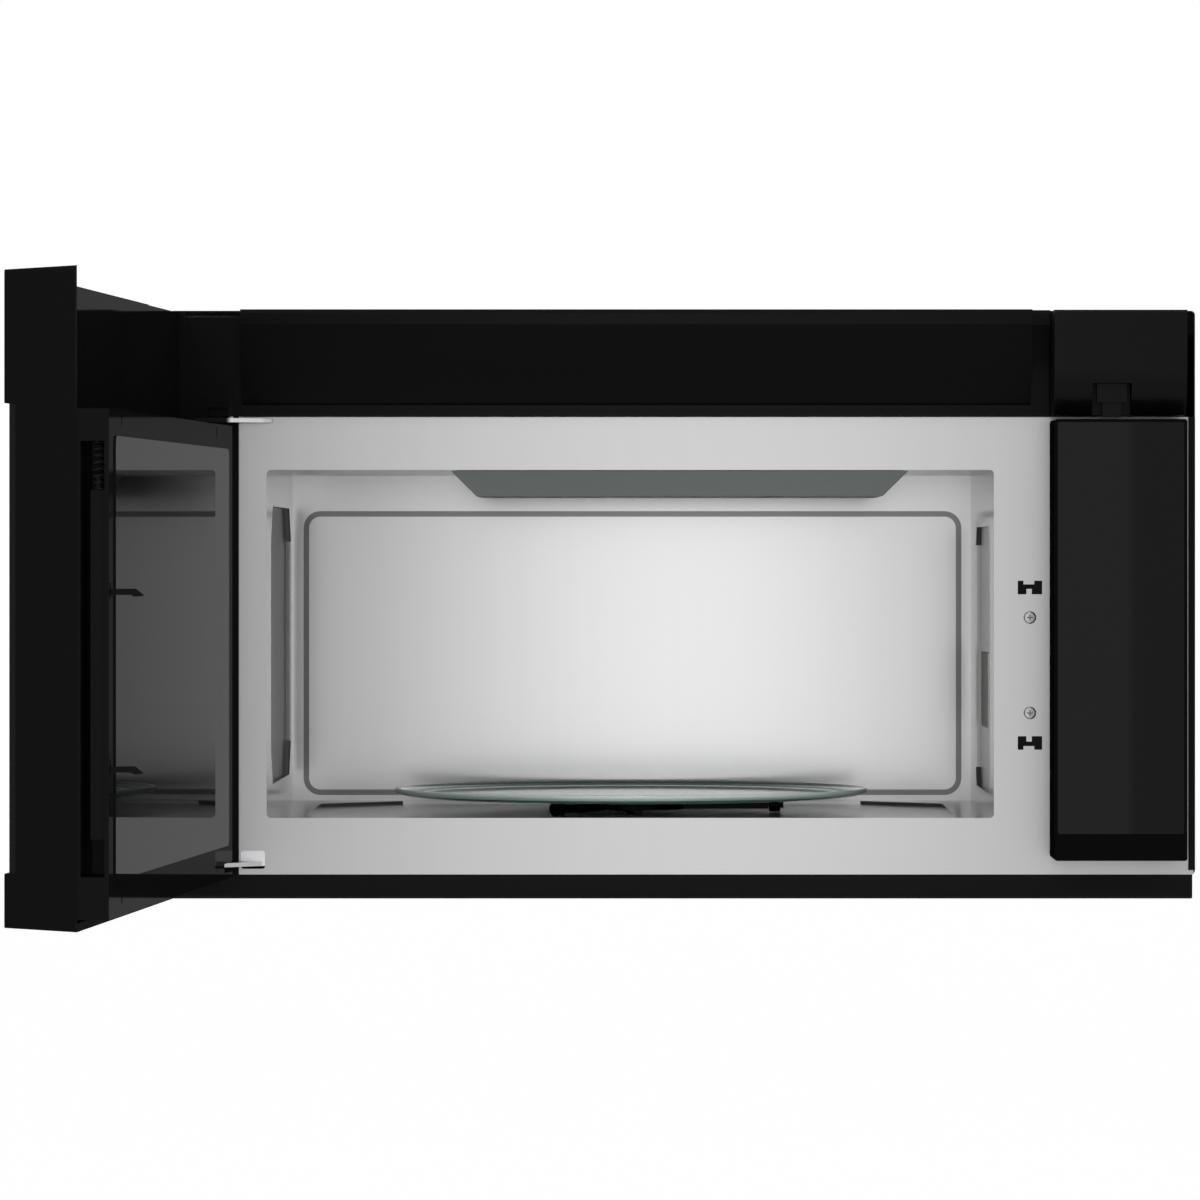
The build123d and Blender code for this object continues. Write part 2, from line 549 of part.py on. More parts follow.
def make_cavity():
    wall = CAVITY_WALL
    back = forward(-CAVITY_DEPTH)
    tub = plate(CAVITY_LEFT - wall, CAVITY_RIGHT + wall, CAVITY_BOTTOM - wall, CAVITY_TOP + wall,
                forward(-SHEET), back + wall)
    tub += plate(CAVITY_LEFT - CAVITY_FLANGE, CAVITY_RIGHT + CAVITY_FLANGE, CAVITY_BOTTOM - CAVITY_FLANGE,
                 CAVITY_TOP + CAVITY_FLANGE, forward(-SHEET), forward(-SHEET - wall), 6)
    tub += floor_recess(-wall, FLOOR - wall, CAVITY_BOTTOM)
    tub += left_pressing(CAVITY_LEFT - LEFT_PANEL_DROP - wall, CAVITY_LEFT, wall)
    tub += right_pressing(CAVITY_RIGHT, CAVITY_RIGHT + RIGHT_PANEL_DROP + wall, wall)
    tub += back_bead(back, back + BEAD_DEPTH + wall, wall)
    tub -= plate(CAVITY_LEFT, CAVITY_RIGHT, CAVITY_BOTTOM, CAVITY_TOP, forward(0), back)
    tub -= floor_recess(0, FLOOR, CAVITY_BOTTOM + 1)
    tub -= left_pressing(CAVITY_LEFT - LEFT_PANEL_DROP, CAVITY_LEFT + 1, 0)
    tub -= right_pressing(CAVITY_RIGHT - 1, CAVITY_RIGHT + RIGHT_PANEL_DROP, 0)
    tub -= back_bead(back - 1, back + BEAD_DEPTH, 0)
    tub -= rod_z(CAVITY_X, TURNTABLE_Y, FLOOR - wall - 1, FLOOR + 1, FLOOR_HOLE_RADIUS)
    tub -= plate_x_hole(CAVITY_RIGHT + 1, CAVITY_RIGHT + RIGHT_PANEL_DROP + wall + 1)
    for row in range(3):
        for column in range(5):
            x = CAVITY_LEFT + 40 + column * LAMP_HOLE_PITCH
            y = forward(-CAVITY_DEPTH + 40 + row * LAMP_HOLE_PITCH)
            tub -= rod_z(x, y, CAVITY_TOP - 1, CAVITY_TOP + wall + 1, LAMP_HOLE_RADIUS)
    return tub


def plate_x_hole(x0, x1):
    return block(x0, x1, forward(-WAVEGUIDE_NEAR - 4), forward(-WAVEGUIDE_FAR + 4),
                 WAVEGUIDE_BOTTOM + 2, WAVEGUIDE_BOTTOM + WAVEGUIDE_MOUTH - 2)


def make_ceiling_cover():
    """Shallow tapered pan that hides the stirrer area of the ceiling."""
    y = TURNTABLE_Y
    low = CAVITY_TOP - CEILING_COVER_DROP
    skin = CEILING_COVER_SKIN

    def frustum(inset, z_top, z_bottom):
        upper = Pos(CEILING_COVER_X, y, z_top) * Rectangle(
            CEILING_COVER_WIDTH - 2 * inset, CEILING_COVER_LENGTH - 2 * inset)
        shrink = inset + (z_top - z_bottom)
        lower = Pos(CEILING_COVER_X, y, z_bottom) * Rectangle(
            CEILING_COVER_WIDTH - 2 * shrink, CEILING_COVER_LENGTH - 2 * shrink)
        return loft([lower, upper])

    return frustum(0, CAVITY_TOP, low) - frustum(1.5 * skin, CAVITY_TOP + 1, low + skin)


def make_side_cover():
    """Mica sheet over the waveguide's mouth, seated in the right wall's pressing."""
    x = CAVITY_RIGHT + RIGHT_PANEL_DROP
    return block(x - 1.5, x, forward(-WAVEGUIDE_NEAR + 10), forward(-WAVEGUIDE_FAR - 10),
                 WAVEGUIDE_BOTTOM - 5, WAVEGUIDE_BOTTOM + WAVEGUIDE_MOUTH + 6)


# ---- turntable ----
def make_turntable_motor():
    top = FLOOR - CAVITY_WALL
    motor = rod_z(CAVITY_X, TURNTABLE_Y, top - 20, top, 25)
    for side in (-1, 1):
        ear = Pos(CAVITY_X + side * 30, TURNTABLE_Y, top - 1) * Box(24, 12, 2)
        motor += ear
        motor -= rod_z(CAVITY_X + side * 35, TURNTABLE_Y, top - 3, top + 1, 2.2)
    return motor - rod_z(CAVITY_X, TURNTABLE_Y, top - 12, top + 1, SHAFT_RADIUS + RUNNING)


def make_drive_hub():
    """Shaft of the turntable motor with its three-lobed coupler."""
    shaft = rod_z(CAVITY_X, TURNTABLE_Y, FLOOR - 12, FLOOR + 2, SHAFT_RADIUS)
    hub = rod_z(CAVITY_X, TURNTABLE_Y, FLOOR + 1, SUPPORT_TOP + 1.4, HUB_RADIUS)
    for step in range(3):
        lobe = Pos(CAVITY_X, TURNTABLE_Y, (FLOOR + 1 + SUPPORT_TOP + 1.4) / 2) * Rot(0, 0, 60 + 120 * step)
        hub += lobe * Pos(HUB_RADIUS, 0, 0) * Box(LOBE_LENGTH, LOBE_WIDTH, SUPPORT_TOP + 0.4 - FLOOR)
    return shaft + hub


def make_roller_support():
    """Black moulded spider: centre ring, three arms and the rollers' axles."""
    height = SUPPORT_THICKNESS
    ring = Cylinder(SUPPORT_RING_RADIUS, height) - Cylinder(SUPPORT_RING_RADIUS - SUPPORT_BAR, height)
    boss = Cylinder(HUB_RADIUS + 12, height) - Cylinder(HUB_RADIUS + FREE, height)
    spider = ring + boss
    for step in range(3):
        spoke_length = SUPPORT_RING_RADIUS - SUPPORT_BAR / 2 - HUB_RADIUS - 10
        spoke = Pos(HUB_RADIUS + 10 + spoke_length / 2, 0, 0) * Box(spoke_length, SUPPORT_BAR, height)
        spider += Rot(0, 0, 120 * step) * spoke
        socket = Box(LOBE_LENGTH + 2 * FREE, LOBE_WIDTH + 2 * FREE, height)
        spider -= Rot(0, 0, 60 + 120 * step) * Pos(HUB_RADIUS, 0, 0) * socket
    for step in range(ROLLER_COUNT):
        inner = ROLLER_PATH_RADIUS - ROLLER_WIDTH / 2 - FREE
        arm_length = inner - SUPPORT_RING_RADIUS + 2
        arm = Pos(SUPPORT_RING_RADIUS - 2 + arm_length / 2, 0, 0) * Box(arm_length, SUPPORT_BAR, height)
        axle = Pos(ROLLER_PATH_RADIUS, 0, 0) * Rot(0, 90, 0) * Cylinder(ROLLER_AXLE_RADIUS, ROLLER_WIDTH + 3)
        cap = Pos(ROLLER_PATH_RADIUS + ROLLER_WIDTH / 2 + FREE + 1, 0, 0) * Rot(0, 90, 0) * Cylinder(2.6, 2)
        spider += Rot(0, 0, ROLLER_FIRST_ANGLE + 120 * step) * (arm + axle + cap)
    return Pos(CAVITY_X, TURNTABLE_Y, AXLE_HEIGHT) * spider


def make_roller(step):
    wheel = Cylinder(ROLLER_RADIUS, ROLLER_WIDTH)
    wheel = chamfer(wheel.edges().filter_by(GeomType.CIRCLE), 1.0)
    wheel -= Cylinder(ROLLER_AXLE_RADIUS + RUNNING, ROLLER_WIDTH + 1)
    turned = Rot(0, 0, ROLLER_FIRST_ANGLE + 120 * step) * Pos(ROLLER_PATH_RADIUS, 0, 0) * Rot(0, 90, 0) * wheel
    return Pos(CAVITY_X, TURNTABLE_Y, AXLE_HEIGHT) * turned


def make_glass_tray():
    """Dished glass plate, turned from its half section."""
    base_radius = TRAY_RADIUS - TRAY_RIM_WIDTH
    rim = TRAY_RIM_HEIGHT
    with BuildPart() as tray:
        with BuildSketch(Plane.XZ):
            with BuildLine():
                Polyline((0, 0), (base_radius, 0), (TRAY_RADIUS, rim - 2.6))
                Line((TRAY_RADIUS, rim - 2.6), (TRAY_RADIUS, rim))
                Polyline((TRAY_RADIUS, rim), (TRAY_RADIUS - 3, rim), (base_radius - 1, TRAY_GLASS),
                         (0, TRAY_GLASS), (0, 0))
            make_face()
        revolve(axis=Axis.Z)
    return Pos(CAVITY_X, TURNTABLE_Y, TRAY_BOTTOM) * tray.part


# ---- door, modelled closed and swung open when it is saved ----
def make_door_shell():
    """Drafted black moulding: front bands, both end walls and a web behind the glass."""
    rear_y = forward(SHELL_REAR)
    centre = Pos((DOOR_LEFT + DOOR_RIGHT) / 2, (DOOR_BOTTOM + DOOR_TOP) / 2)
    outline = RectangleRounded(DOOR_WIDTH, DOOR_TOP - DOOR_BOTTOM, 5)
    draft = math.degrees(math.atan2(DOOR_DRAFT, DOOR_SHELL_DEPTH))
    shell = extrude(Plane.XZ.offset(-rear_y) * centre * outline, DOOR_SHELL_DEPTH, taper=draft)
    web = GLASS_SEAT - DOOR_WALL
    shell -= block(DOOR_LEFT - 1, DOOR_RIGHT + 1, forward(GLASS_SEAT), forward(DOOR_FRONT + 1),
                   GLASS_BOTTOM, GLASS_TOP)
    shell -= block(SHELL_LEFT, SHELL_RIGHT, rear_y + 1, forward(web), SHELL_FLOOR, GLASS_TOP + 4)
    shell -= plate(DOOR_LEFT + 45, DOOR_RIGHT - 45, GLASS_BOTTOM + 22, GLASS_TOP - 22,
                   forward(web - 1), forward(GLASS_SEAT + 1), 8)
    shell -= block(SHELL_LEFT, SHELL_RIGHT, rear_y + 1, forward(LINER_FACE + DOOR_WALL), GLASS_TOP + 3,
                   DOOR_TOP + 1)
    shell -= block(SHELL_LEFT, SHELL_RIGHT, forward(LINER_FACE), forward(DOOR_FRONT - DOOR_WALL),
                   GLASS_TOP + 7, LINER_TOP - DOOR_WALL)
    shell -= block(DOOR_LEFT - 1, SHELL_RIGHT, rear_y + 1, forward(DOOR_FRONT - DOOR_WALL), LINER_TOP,
                   DOOR_TOP + 1)
    edge = Spline(*[(0, forward(v), BODY_HEIGHT + rise) for v, rise in HORN_PROFILE])
    behind = rear_y + 3
    rest = Polyline(edge @ 1, (0, behind, (edge @ 1).Z), (0, behind, (edge @ 0).Z), edge @ 0)
    notch = make_face([*edge.edges(), *rest.edges()])
    shell -= Pos(DOOR_LEFT - 1, 0, 0) * extrude(notch, SHELL_LEFT - DOOR_LEFT + 2, dir=(1, 0, 0))
    ear = [(forward(v), BODY_HEIGHT + rise) for v, rise in EAR_PROFILE]
    return shell + along_x(ear, DOOR_LEFT + DOOR_DRAFT, SHELL_LEFT)


def make_door_glass():
    """Outer glass across the whole door, held between the two front bands."""
    inset = DOOR_DRAFT * (GLASS_SEAT - SHELL_REAR) / DOOR_SHELL_DEPTH + 0.3
    return plate(DOOR_LEFT + inset, DOOR_RIGHT - inset, GLASS_BOTTOM + SEAM / 2, GLASS_TOP - SEAM / 2,
                 forward(GLASS_SEAT + DOOR_GLASS), forward(GLASS_SEAT))


def make_inner_frame():
    """Rear half of the door: sealing face, latch channel and the top zone's liner."""
    face = INNER_FACE
    frame = block(INNER_LEFT, INNER_RIGHT, forward(SHELL_REAR), forward(face), INNER_BOTTOM, INNER_TOP)
    hollow_right = INNER_RIGHT - CHANNEL_DEPTH - FACE_WALL
    frame -= block(INNER_LEFT + FACE_WALL, hollow_right, forward(SHELL_REAR + 1), forward(face + FACE_WALL),
                   INNER_BOTTOM + FACE_WALL, INNER_TOP - FACE_WALL)
    frame -= plate(WINDOW_LEFT, WINDOW_RIGHT, WINDOW_BOTTOM, WINDOW_TOP, forward(face + 5),
                   forward(face - 1), 10)
    frame -= plate(PANEL_LEFT, PANEL_RIGHT, PANEL_BOTTOM, PANEL_TOP,
                   forward(face + PANEL_THICKNESS - PANEL_PROUD), forward(face - 1), 6)
    frame -= block(INNER_RIGHT - CHANNEL_DEPTH, INNER_RIGHT + 1, forward(SHELL_REAR - FACE_WALL),
                   forward(face + FACE_WALL), CHANNEL_BOTTOM, CHANNEL_TOP)
    for z in LATCH_HEIGHTS:
        frame -= block(HOOK_X - HOOK_WIDTH / 2 - 1, HOOK_X + HOOK_WIDTH / 2 + 1, forward(face + FACE_WALL + 1),
                       forward(face - 1), z - HOOK_BARB - 3, z + HOOK_THICKNESS / 2 + LATCH_TRAVEL + 2)
    for x in (CAVITY_LEFT + 45, CAVITY_RIGHT - 20):
        for z in (INNER_BOTTOM + 11.5, INNER_TOP - 6):
            frame -= block(x - 2, x + 2, forward(face + FACE_WALL + 1), forward(face - 1), z - 4, z + 4)
    frame -= block(INNER_LEFT - 1, LOWER_ARM_RIGHT + 6, forward(SHELL_REAR + 1), forward(face - 1),
                   LOWER_HINGE_BOTTOM - 2, LOWER_HINGE_BOTTOM + HINGE_PLATE + 2)
    liner = block(SHELL_LEFT + FREE, SHELL_RIGHT - FREE, forward(LINER_FACE + DOOR_WALL), forward(LINER_FACE),
                  GLASS_TOP + 3, LINER_TOP)
    shelf = block(INNER_LEFT, INNER_RIGHT - CHANNEL_DEPTH, forward(LINER_FACE + DOOR_WALL),
                  forward(face + FACE_WALL), INNER_TOP - FACE_WALL, INNER_TOP)
    riser = block(INNER_LEFT, INNER_RIGHT - CHANNEL_DEPTH, forward(LINER_FACE + DOOR_WALL),
                  forward(LINER_FACE), INNER_TOP, GLASS_TOP + 3)
    return frame + liner + shelf + riser


def make_inner_panel():
    """Glossy window panel, a little proud of the sealing face."""
    return plate(PANEL_LEFT + SEAM / 2, PANEL_RIGHT - SEAM / 2, PANEL_BOTTOM + SEAM / 2, PANEL_TOP - SEAM / 2,
                 forward(INNER_FACE + PANEL_THICKNESS - PANEL_PROUD), forward(INNER_FACE - PANEL_PROUD), 6)


def make_door_screen():
    """Perforated steel screen clamped between the window panel and its frame."""
    screen = plate(WINDOW_LEFT - 14, WINDOW_RIGHT + 14, WINDOW_BOTTOM - 14, WINDOW_TOP + 14,
                   forward(INNER_FACE + FACE_WALL + 0.8), forward(INNER_FACE + FACE_WALL))
    pitch_x = (WINDOW_RIGHT - WINDOW_LEFT) / SCREEN_COLUMNS
    pitch_z = (WINDOW_TOP - WINDOW_BOTTOM) / SCREEN_ROWS
    hole = Rectangle(pitch_x - SCREEN_BAR, pitch_z - SCREEN_BAR)
    holes = Sketch() + [
        Pos(WINDOW_LEFT + pitch_x * (column + 0.5), WINDOW_BOTTOM + pitch_z * (row + 0.5)) * hole
        for column in range(SCREEN_COLUMNS) for row in range(SCREEN_ROWS)]
    return screen - extrude(Plane.XZ.offset(-forward(0)) * holes, 30)


def make_hinge_blocks():
    """Two bushing blocks inside the door that turn on the fixed pins."""
    blocks = []
    for z0, z1 in (
        (LOWER_HINGE_BOTTOM + HINGE_PLATE + FREE, LOWER_HINGE_BOTTOM + HINGE_PLATE + 22),
        (UPPER_HINGE_TOP - HINGE_PLATE - 22, UPPER_HINGE_TOP - HINGE_PLATE - 1.2),
    ):
        body = block(SHELL_LEFT, INNER_LEFT, forward(SHELL_REAR), forward(HINGE_FORWARD + 12), z0, z1)
        blocks.append(body - rod_z(HINGE_X, HINGE_Y, z0 - 1, z1 + 1, HINGE_PIN_RADIUS + RUNNING))
    return blocks


def hinge_arm(left, right, z0, rear):
    """Flat arm from the hinge pin back to its root in the front frame."""
    start = Vector(HINGE_X, HINGE_Y)
    root = Vector((left + right) / 2, forward(0))
    half = (right - left) / 2
    run = (root - start).normalized()
    across = Vector(-run.Y, run.X) * 8.0
    points = [start + across, start - across, Vector(right - 6, forward(6)), Vector(right, forward(1)),
              Vector(right, forward(rear)), Vector(left, forward(rear)), Vector(left, forward(6))]
    outline = make_face(Polyline(*[(p.X, p.Y) for p in points], close=True))
    outline += Pos(start.X, start.Y) * Circle(3 * HINGE_PIN_RADIUS)
    return extrude(Pos(0, 0, z0) * outline, HINGE_PLATE)


def make_upper_hinge():
    z0 = UPPER_HINGE_TOP - HINGE_PLATE
    arm = hinge_arm(UPPER_ARM_LEFT, UPPER_ARM_RIGHT, z0, -13)
    arm += block(UPPER_ARM_LEFT, UPPER_ARM_LEFT + 3.7, forward(0.6), forward(2), z0, z0 + 24.8)
    return arm + rod_z(HINGE_X, HINGE_Y, z0 - HINGE_PIN_LENGTH, z0, HINGE_PIN_RADIUS)


def make_lower_hinge():
    z0 = LOWER_HINGE_BOTTOM
    arm = hinge_arm(LOWER_ARM_LEFT, LOWER_ARM_RIGHT, z0, -SHEET - 3)
    tab = block(LOWER_ARM_LEFT - 6, LOWER_ARM_RIGHT + 6, forward(-SHEET), forward(-SHEET - 3), z0, z0 + 20)
    pin = rod_z(HINGE_X, HINGE_Y, z0 + HINGE_PLATE, z0 + HINGE_PLATE + HINGE_PIN_LENGTH, HINGE_PIN_RADIUS)
    return arm + tab + pin


def make_latch_bar():
    """Sliding bar in the door's edge with the two hooks that enter the front frame."""
    rear = INNER_FACE + FACE_WALL + FREE
    bar = block(BAR_LEFT, BAR_RIGHT, forward(rear), forward(rear + BAR_THICKNESS), BAR_BOTTOM, BAR_TOP)
    tip = INNER_FACE - HOOK_REACH
    for z in LATCH_HEIGHTS:
        low, high = z - HOOK_THICKNESS / 2, z + HOOK_THICKNESS / 2
        hook = [(forward(rear), low), (forward(rear), high), (forward(tip + 5), high), (forward(tip), low),
                (forward(tip), low - 0.6), (forward(tip + 5), low - HOOK_BARB),
                (forward(tip + 6.5), low - HOOK_BARB), (forward(tip + 8), low)]
        bar += along_x(hook, HOOK_X - HOOK_WIDTH / 2, HOOK_X + HOOK_WIDTH / 2)
    bar += block(BAR_LEFT + 3, BAR_RIGHT - 3, forward(rear + 3), forward(rear + 6), BAR_TOP, BAR_TOP + 10)
    return bar


def make_latch_spring():
    """Coil spring that presses the latch bar down."""
    y = forward(INNER_FACE + FACE_WALL + FREE + BAR_THICKNESS / 2)
    low, high = BAR_TOP + SPRING_WIRE, CHANNEL_TOP - SPRING_WIRE
    path = Helix(pitch=(high - low) / SPRING_TURNS, height=high - low, radius=SPRING_RADIUS)
    section = Plane(path @ 0, z_dir=path % 0) * RegularPolygon(SPRING_WIRE, 4)
    return Pos(BAR_X, y, low) * sweep(section, path=path, is_frenet=True)


def swing(piece):
    """Swing a piece of the door from closed to its stored, open place."""
    axis = Axis((HINGE_X, HINGE_Y, 0), (0, 0, 1))
    return piece.rotate(axis, -DOOR_OPEN_ANGLE)


# ---- latch bracket and screws behind the front frame ----
def make_latch_bracket():
    bracket = block(BRACKET_LEFT, BRACKET_RIGHT, forward(-SHEET), forward(-BRACKET_DEPTH), BRACKET_BOTTOM,
                    BRACKET_TOP)
    for z in LATCH_HEIGHTS:
        bracket -= latch_slot(z, forward(1), forward(-30), 1.5)
    bracket -= block(BRACKET_LEFT + 3, BRACKET_RIGHT - 3, forward(-12), forward(-BRACKET_DEPTH - 1),
                     LATCH_HEIGHTS[0] + 12, LATCH_HEIGHTS[1] - 12)
    for z in LATCH_SCREW_HEIGHTS:
        bracket -= rod_y(LATCH_X, forward(0), forward(-13), z, SCREW_RADIUS + RUNNING)
    return bracket


def make_switches():
    """Three door interlock switches clipped to the latch bracket."""
    switches = []
    for z in (LATCH_HEIGHTS[0], LATCH_HEIGHTS[1] - 18, LATCH_HEIGHTS[1]):
        body = block(BRACKET_RIGHT, BRACKET_RIGHT + 10, forward(-8), forward(-36), z - 8, z + 8)
        for y in (-14, -22, -30):
            body += block(BRACKET_RIGHT + 10, BRACKET_RIGHT + 16, forward(y + 0.4), forward(y - 0.4),
                          z - 3, z + 3)
        switches.append(body)
    return switches


def make_frame_screws():
    return [pan_screw_y(LATCH_X, forward(0), z, SCREW_RADIUS, 10) for z in LATCH_SCREW_HEIGHTS]


# ---- cowl, vent cover and filters at the top ----
def cowl_section(nose):
    """Cowl profile in (forward, height): a foot, a curved face and a bevelled nose."""
    foot, top = COWL_FOOT, BODY_HEIGHT
    with BuildSketch() as section:
        with BuildLine():
            Polyline((0, foot), (6, foot), (6, foot + 2.8), (3.5, foot + 2.8), (3.5, foot + 8))
            ThreePointArc((3.5, foot + 8), (nose - 13, top - 43), (nose - 0.7, top - 11))
            Polyline((nose - 0.7, top - 11), (nose, top - 3), (nose - 3, top), (0, top), (0, foot))
        make_face()
    return section.sketch


def moulding(section, x0, x1, wall):
    """Hollow moulding of one (forward, height) profile, closed at both ends."""
    across = Plane(origin=(x0, forward(0), 0), x_dir=(0, -1, 0), z_dir=(-1, 0, 0))
    body = extrude(across * section, x0 - x1)
    inner = extrude(across * offset(section, -wall), x0 - x1 + 2 * wall)
    return body - Pos(wall, 0, 0) * inner


def make_cowl():
    """Long black moulding over the air outlet, with slots in its top."""
    foot, top, wall = COWL_FOOT, BODY_HEIGHT, COWL_WALL
    step = COWL_RIGHT - COWL_END_LENGTH
    body = moulding(cowl_section(COWL_NOSE), COWL_LEFT, step, wall)
    body += moulding(cowl_section(COWL_END_NOSE), step, COWL_RIGHT, wall)
    body -= block(COWL_LEFT + wall, COWL_RIGHT - wall, forward(-1), forward(wall + 0.6), foot + 10, top - wall)
    count = int((step - COWL_LEFT - 20) / COWL_SLOT_PITCH)
    for index in range(count):
        x = COWL_LEFT + 12 + index * COWL_SLOT_PITCH
        body -= block(x, x + COWL_SLOT, forward(3.5), forward(COWL_NOSE - 5), top - wall - 1, top + 1)
    wing_top = TOP_INSIDE - CASE_BEND
    wing = block(-CASE_INSIDE, COWL_LEFT, forward(-3), forward(-0.5), foot, wing_top)
    wing += block(COWL_LEFT, COWL_LEFT + wall, forward(-3), forward(0), foot, wing_top)
    return body + wing


def make_vent_cover():
    """Hinged black cover at the top right, curved back at its foot."""
    bottom, top, front = VENT_COVER_BOTTOM, VENT_COVER_TOP, CONTROL_FORWARD
    with BuildSketch() as section:
        with BuildLine():
            Polyline((COVER_REAR, bottom), (front - 18, bottom))
            ThreePointArc((front - 18, bottom), (front - 5, bottom + 16), (front, bottom + 37))
            Polyline((front, bottom + 37), (front, top - 2), (front - 2, top), (COVER_REAR, top),
                     (COVER_REAR, bottom))
        make_face()
    across = Plane(origin=(CONTROL_LEFT, forward(0), 0), x_dir=(0, -1, 0), z_dir=(-1, 0, 0))
    cover = extrude(across * section.sketch, -CONTROL_WIDTH)
    wall = COVER_WALL
    inner = extrude(across * Pos(-6, 0) * offset(section.sketch, -wall), 2 * wall - CONTROL_WIDTH)
    cover -= Pos(wall, 0, 0) * inner
    cover -= block(COVER_LATCH_LEFT, COVER_LATCH_RIGHT, forward(30), forward(front + 1), bottom - 1,
                   COVER_LATCH_TOP)
    for x0, x1 in ((CONTROL_LEFT + wall, CONTROL_LEFT + 7), (CONTROL_RIGHT - 7, CONTROL_RIGHT - wall)):
        cover += rod_x(x0, x1, COVER_PIVOT_Y, COVER_PIVOT_HEIGHT, COVER_PIVOT_RADIUS)
    return cover


def make_cover_latch():
    """Press tab that holds the foot of the vent cover."""
    middle = (COVER_LATCH_LEFT + COVER_LATCH_RIGHT) / 2
    top, shoulder = COVER_LATCH_TOP - FREE, COVER_LATCH_TOP - 14
    tab = block(middle - 11, middle + 11, forward(46), forward(59), shoulder, top)
    tab += block(middle - 7, middle + 7, forward(47), forward(57), VENT_COVER_BOTTOM - 1.6, shoulder)
    return tab + block(middle - 14, middle + 14, forward(44), forward(46), VENT_COVER_BOTTOM, top)


def make_filter_housing():
    """Tray behind the vent cover that carries its pivots and the charcoal filter."""
    left, right = CONTROL_LEFT + 2, CONTROL_RIGHT - 2
    housing = block(left, right, forward(0), forward(-60), VENT_COVER_BOTTOM + 2, VENT_COVER_TOP - 1)
    housing -= block(left + 2, right - 2, forward(1), forward(-58), VENT_COVER_BOTTOM + 4, VENT_COVER_TOP - 3)
    for x0 in (CONTROL_LEFT + 3.5, CONTROL_RIGHT - 6.5):
        ear = rod_x(x0, x0 + 3, COVER_PIVOT_Y, COVER_PIVOT_HEIGHT, 3.8)
        ear += block(x0, x0 + 3, COVER_PIVOT_Y, forward(-2), COVER_PIVOT_HEIGHT - 3.8, COVER_PIVOT_HEIGHT)
        hole = rod_x(x0 - 1, x0 + 4, COVER_PIVOT_Y, COVER_PIVOT_HEIGHT, COVER_PIVOT_RADIUS + RUNNING)
        housing += ear - hole
    return housing


def make_charcoal_filter():
    left, right = CONTROL_LEFT + 4.3, CONTROL_RIGHT - 4.3
    bottom = VENT_COVER_BOTTOM + 4
    body = block(left, right, forward(-16), forward(-30), bottom, VENT_COVER_TOP - 3.3)
    for column in range(6):
        for row in range(4):
            x = left + 12 + column * 13
            z = bottom + 12 + row * 16
            body -= block(x, x + 9, forward(-15), forward(-20), z, z + 11)
    return body


def make_collar():
    """Rectangular duct collar on the top of the case."""
    half = EXHAUST_LENGTH / 2
    base = BODY_HEIGHT
    flange = slab(-half - 14, half + 14, EXHAUST_FRONT - 12, EXHAUST_REAR + 12, base, base + SHEET, 3)
    collar = flange + block(-half - SHEET, half + SHEET, EXHAUST_FRONT - SHEET, EXHAUST_REAR + SHEET,
                            base, base + COLLAR_HEIGHT)
    collar -= exhaust_hole(base - 1, base + COLLAR_HEIGHT + 1, 0)
    stop = block(-half, half, EXHAUST_FRONT, EXHAUST_FRONT + 4, base, base + 2)
    collar += stop
    for side in (-1, 1):
        collar -= rod_x(side * half - 3, side * half + 3, FLAP_PIVOT_Y, FLAP_HEIGHT, FLAP_PIN + RUNNING)
    return collar


def make_damper():
    half = EXHAUST_LENGTH / 2
    flap = block(-half + 1.5, half - 1.5, EXHAUST_FRONT + 1.5, FLAP_PIVOT_Y, FLAP_HEIGHT - 0.5,
                 FLAP_HEIGHT + 0.5)
    flap += rod_x(-half - SHEET, half + SHEET, FLAP_PIVOT_Y, FLAP_HEIGHT, FLAP_PIN)
    return flap


# ---- vent blower ----
def make_blower_housing():
    """Two scrolls on one base plate, open at the top into the duct."""
    base, sheet = CAVITY_ROOF, BLOWER_SHEET
    housing = block(-BLOWER_OUTER, BLOWER_OUTER, EXHAUST_FRONT - 12, EXHAUST_REAR + 12, base, base + sheet)
    for side in (-1, 1):
        x0, x1 = sorted((side * BLOWER_INNER, side * BLOWER_OUTER))
        outer = rod_x(x0, x1, EXHAUST_Y, BLOWER_HEIGHT, BLOWER_SCROLL)
        outer += block(x0, x1, EXHAUST_FRONT, EXHAUST_REAR, BLOWER_HEIGHT, TOP_INSIDE)
        outer += block(x0, x1, EXHAUST_Y - 20, EXHAUST_Y + 20, base + sheet, BLOWER_HEIGHT)
        inner = rod_x(x0 + sheet, x1 - sheet, EXHAUST_Y, BLOWER_HEIGHT, BLOWER_SCROLL - sheet)
        inner += block(x0 + sheet, x1 - sheet, EXHAUST_FRONT + sheet, EXHAUST_REAR - sheet, BLOWER_HEIGHT,
                       TOP_INSIDE + 1)
        inner += rod_x(x0 - 1, x1 + 1, EXHAUST_Y, BLOWER_HEIGHT, WHEEL_RADIUS - 10)
        housing += outer - inner
    return housing


